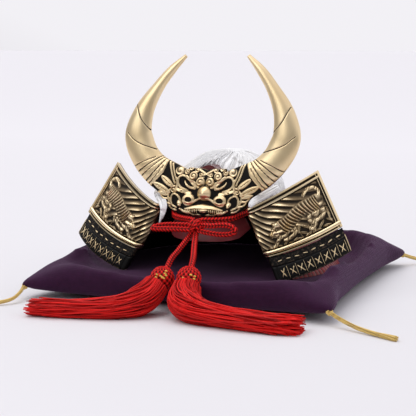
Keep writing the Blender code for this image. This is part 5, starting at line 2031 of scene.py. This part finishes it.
@dataclass
class Studio:
    """Pale floor, soft light and the camera."""

    spot: tuple[float, float, float] = (275.08, -743.19, 160.73)
    right: tuple[float, float, float] = (0.93198, 0.36251, 0.0)
    up: tuple[float, float, float] = (-0.04998, 0.12850, 0.99045)
    back: tuple[float, float, float] = (0.35904, -0.92308, 0.13788)
    lens: float = 101.37
    sensor: float = 36.0
    dim: tuple[float, float, float] = (0.32, 0.32, 0.33)
    bright: tuple[float, float, float] = (0.892, 0.877, 0.915)
    sky_rise: float = 1.6
    sky_lean: float = 0.30
    sun_power: float = 0.95
    panel_power: float = 5.0

    def build(self) -> None:
        """Make the whole studio."""
        self.floor()
        self.camera()
        self.sky()
        self.lamps()

    def floor(self) -> None:
        """Wide pale floor."""
        builder = bmesh.new()
        bmesh.ops.create_grid(builder, x_segments=8, y_segments=8, size=30.0)
        mesh = mesh_of("studio floor", builder)
        mesh.materials.append(PaleFloor("studio paper").make())
        in_scene("studio_floor", mesh)

    def camera(self) -> None:
        """Camera at the photograph's angle."""
        data = bpy.data.cameras.new("camera")
        data.lens = self.lens
        data.sensor_width = self.sensor
        camera = in_scene("camera", data)
        columns = [Vector(self.right), Vector(self.up), Vector(self.back)]
        turn = Matrix(columns).transposed().to_4x4()
        camera.matrix_world = Matrix.Translation(Vector(self.spot) * MM) @ turn
        bpy.context.scene.camera = camera

    def sky(self) -> None:
        """Soft white surroundings, dimmer low down on the camera's side."""
        world = bpy.data.worlds.new("studio")
        world.use_nodes = True
        tree = world.node_tree
        coordinates = tree.nodes.new("ShaderNodeTexCoord")
        parts = tree.nodes.new("ShaderNodeSeparateXYZ")
        rise, lean = (tree.nodes.new("ShaderNodeMath") for _ in range(2))
        for node, share in ((rise, self.sky_rise), (lean, self.sky_lean)):
            node.operation = "MULTIPLY_ADD"
            node.inputs[1].default_value = share
        ramp = tree.nodes.new("ShaderNodeValToRGB")
        first, last = ramp.color_ramp.elements
        first.position, first.color = 0.0, (*self.dim, 1.0)
        last.position, last.color = 0.75, (*self.bright, 1.0)
        tree.links.new(coordinates.outputs["Generated"], parts.inputs[0])
        tree.links.new(parts.outputs["Z"], rise.inputs[0])
        tree.links.new(parts.outputs["Y"], rise.inputs[2])
        tree.links.new(parts.outputs["X"], lean.inputs[0])
        tree.links.new(rise.outputs[0], lean.inputs[2])
        tree.links.new(lean.outputs[0], ramp.inputs[0])
        tree.links.new(ramp.outputs[0], tree.nodes["Background"].inputs["Color"])
        bpy.context.scene.world = world

    def lamps(self) -> None:
        """Broad sun from above and one soft panel for the highlights."""
        sun = bpy.data.lights.new("top light", "SUN")
        sun.energy = self.sun_power
        sun.angle = math.radians(50.0)
        in_scene("top light", sun).rotation_euler = (math.radians(-8.0), math.radians(-14.0), 0.0)
        panel = bpy.data.lights.new("front panel", "AREA")
        panel.size = 0.9
        panel.energy = self.panel_power
        lamp = in_scene("front panel", panel)
        lamp.location = (-0.7, -1.1, 1.1)
        aim = Vector((0.0, 0.0, 0.05)) - lamp.location
        lamp.rotation_euler = aim.to_track_quat("-Z", "Y").to_euler()
        bpy.context.scene.view_settings.view_transform = "Standard"


def main() -> None:
    """Load the frame and dress it, piece by piece."""
    logging.basicConfig(level=logging.INFO, format="%(name)s %(message)s")
    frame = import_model()
    looks = Looks.mix()
    Studio().build()
    RedCord(looks).build()
    Cushion(looks.cloth, looks.yellow).build()
    Dressing(looks, frame["nodes"]).build()
    for side in Side:
        CheekPlate(side, looks).build()
    Crest(looks.face).build()
    Hair(looks.hair, Bowl()).build()


if __name__ == "__main__":
    main()
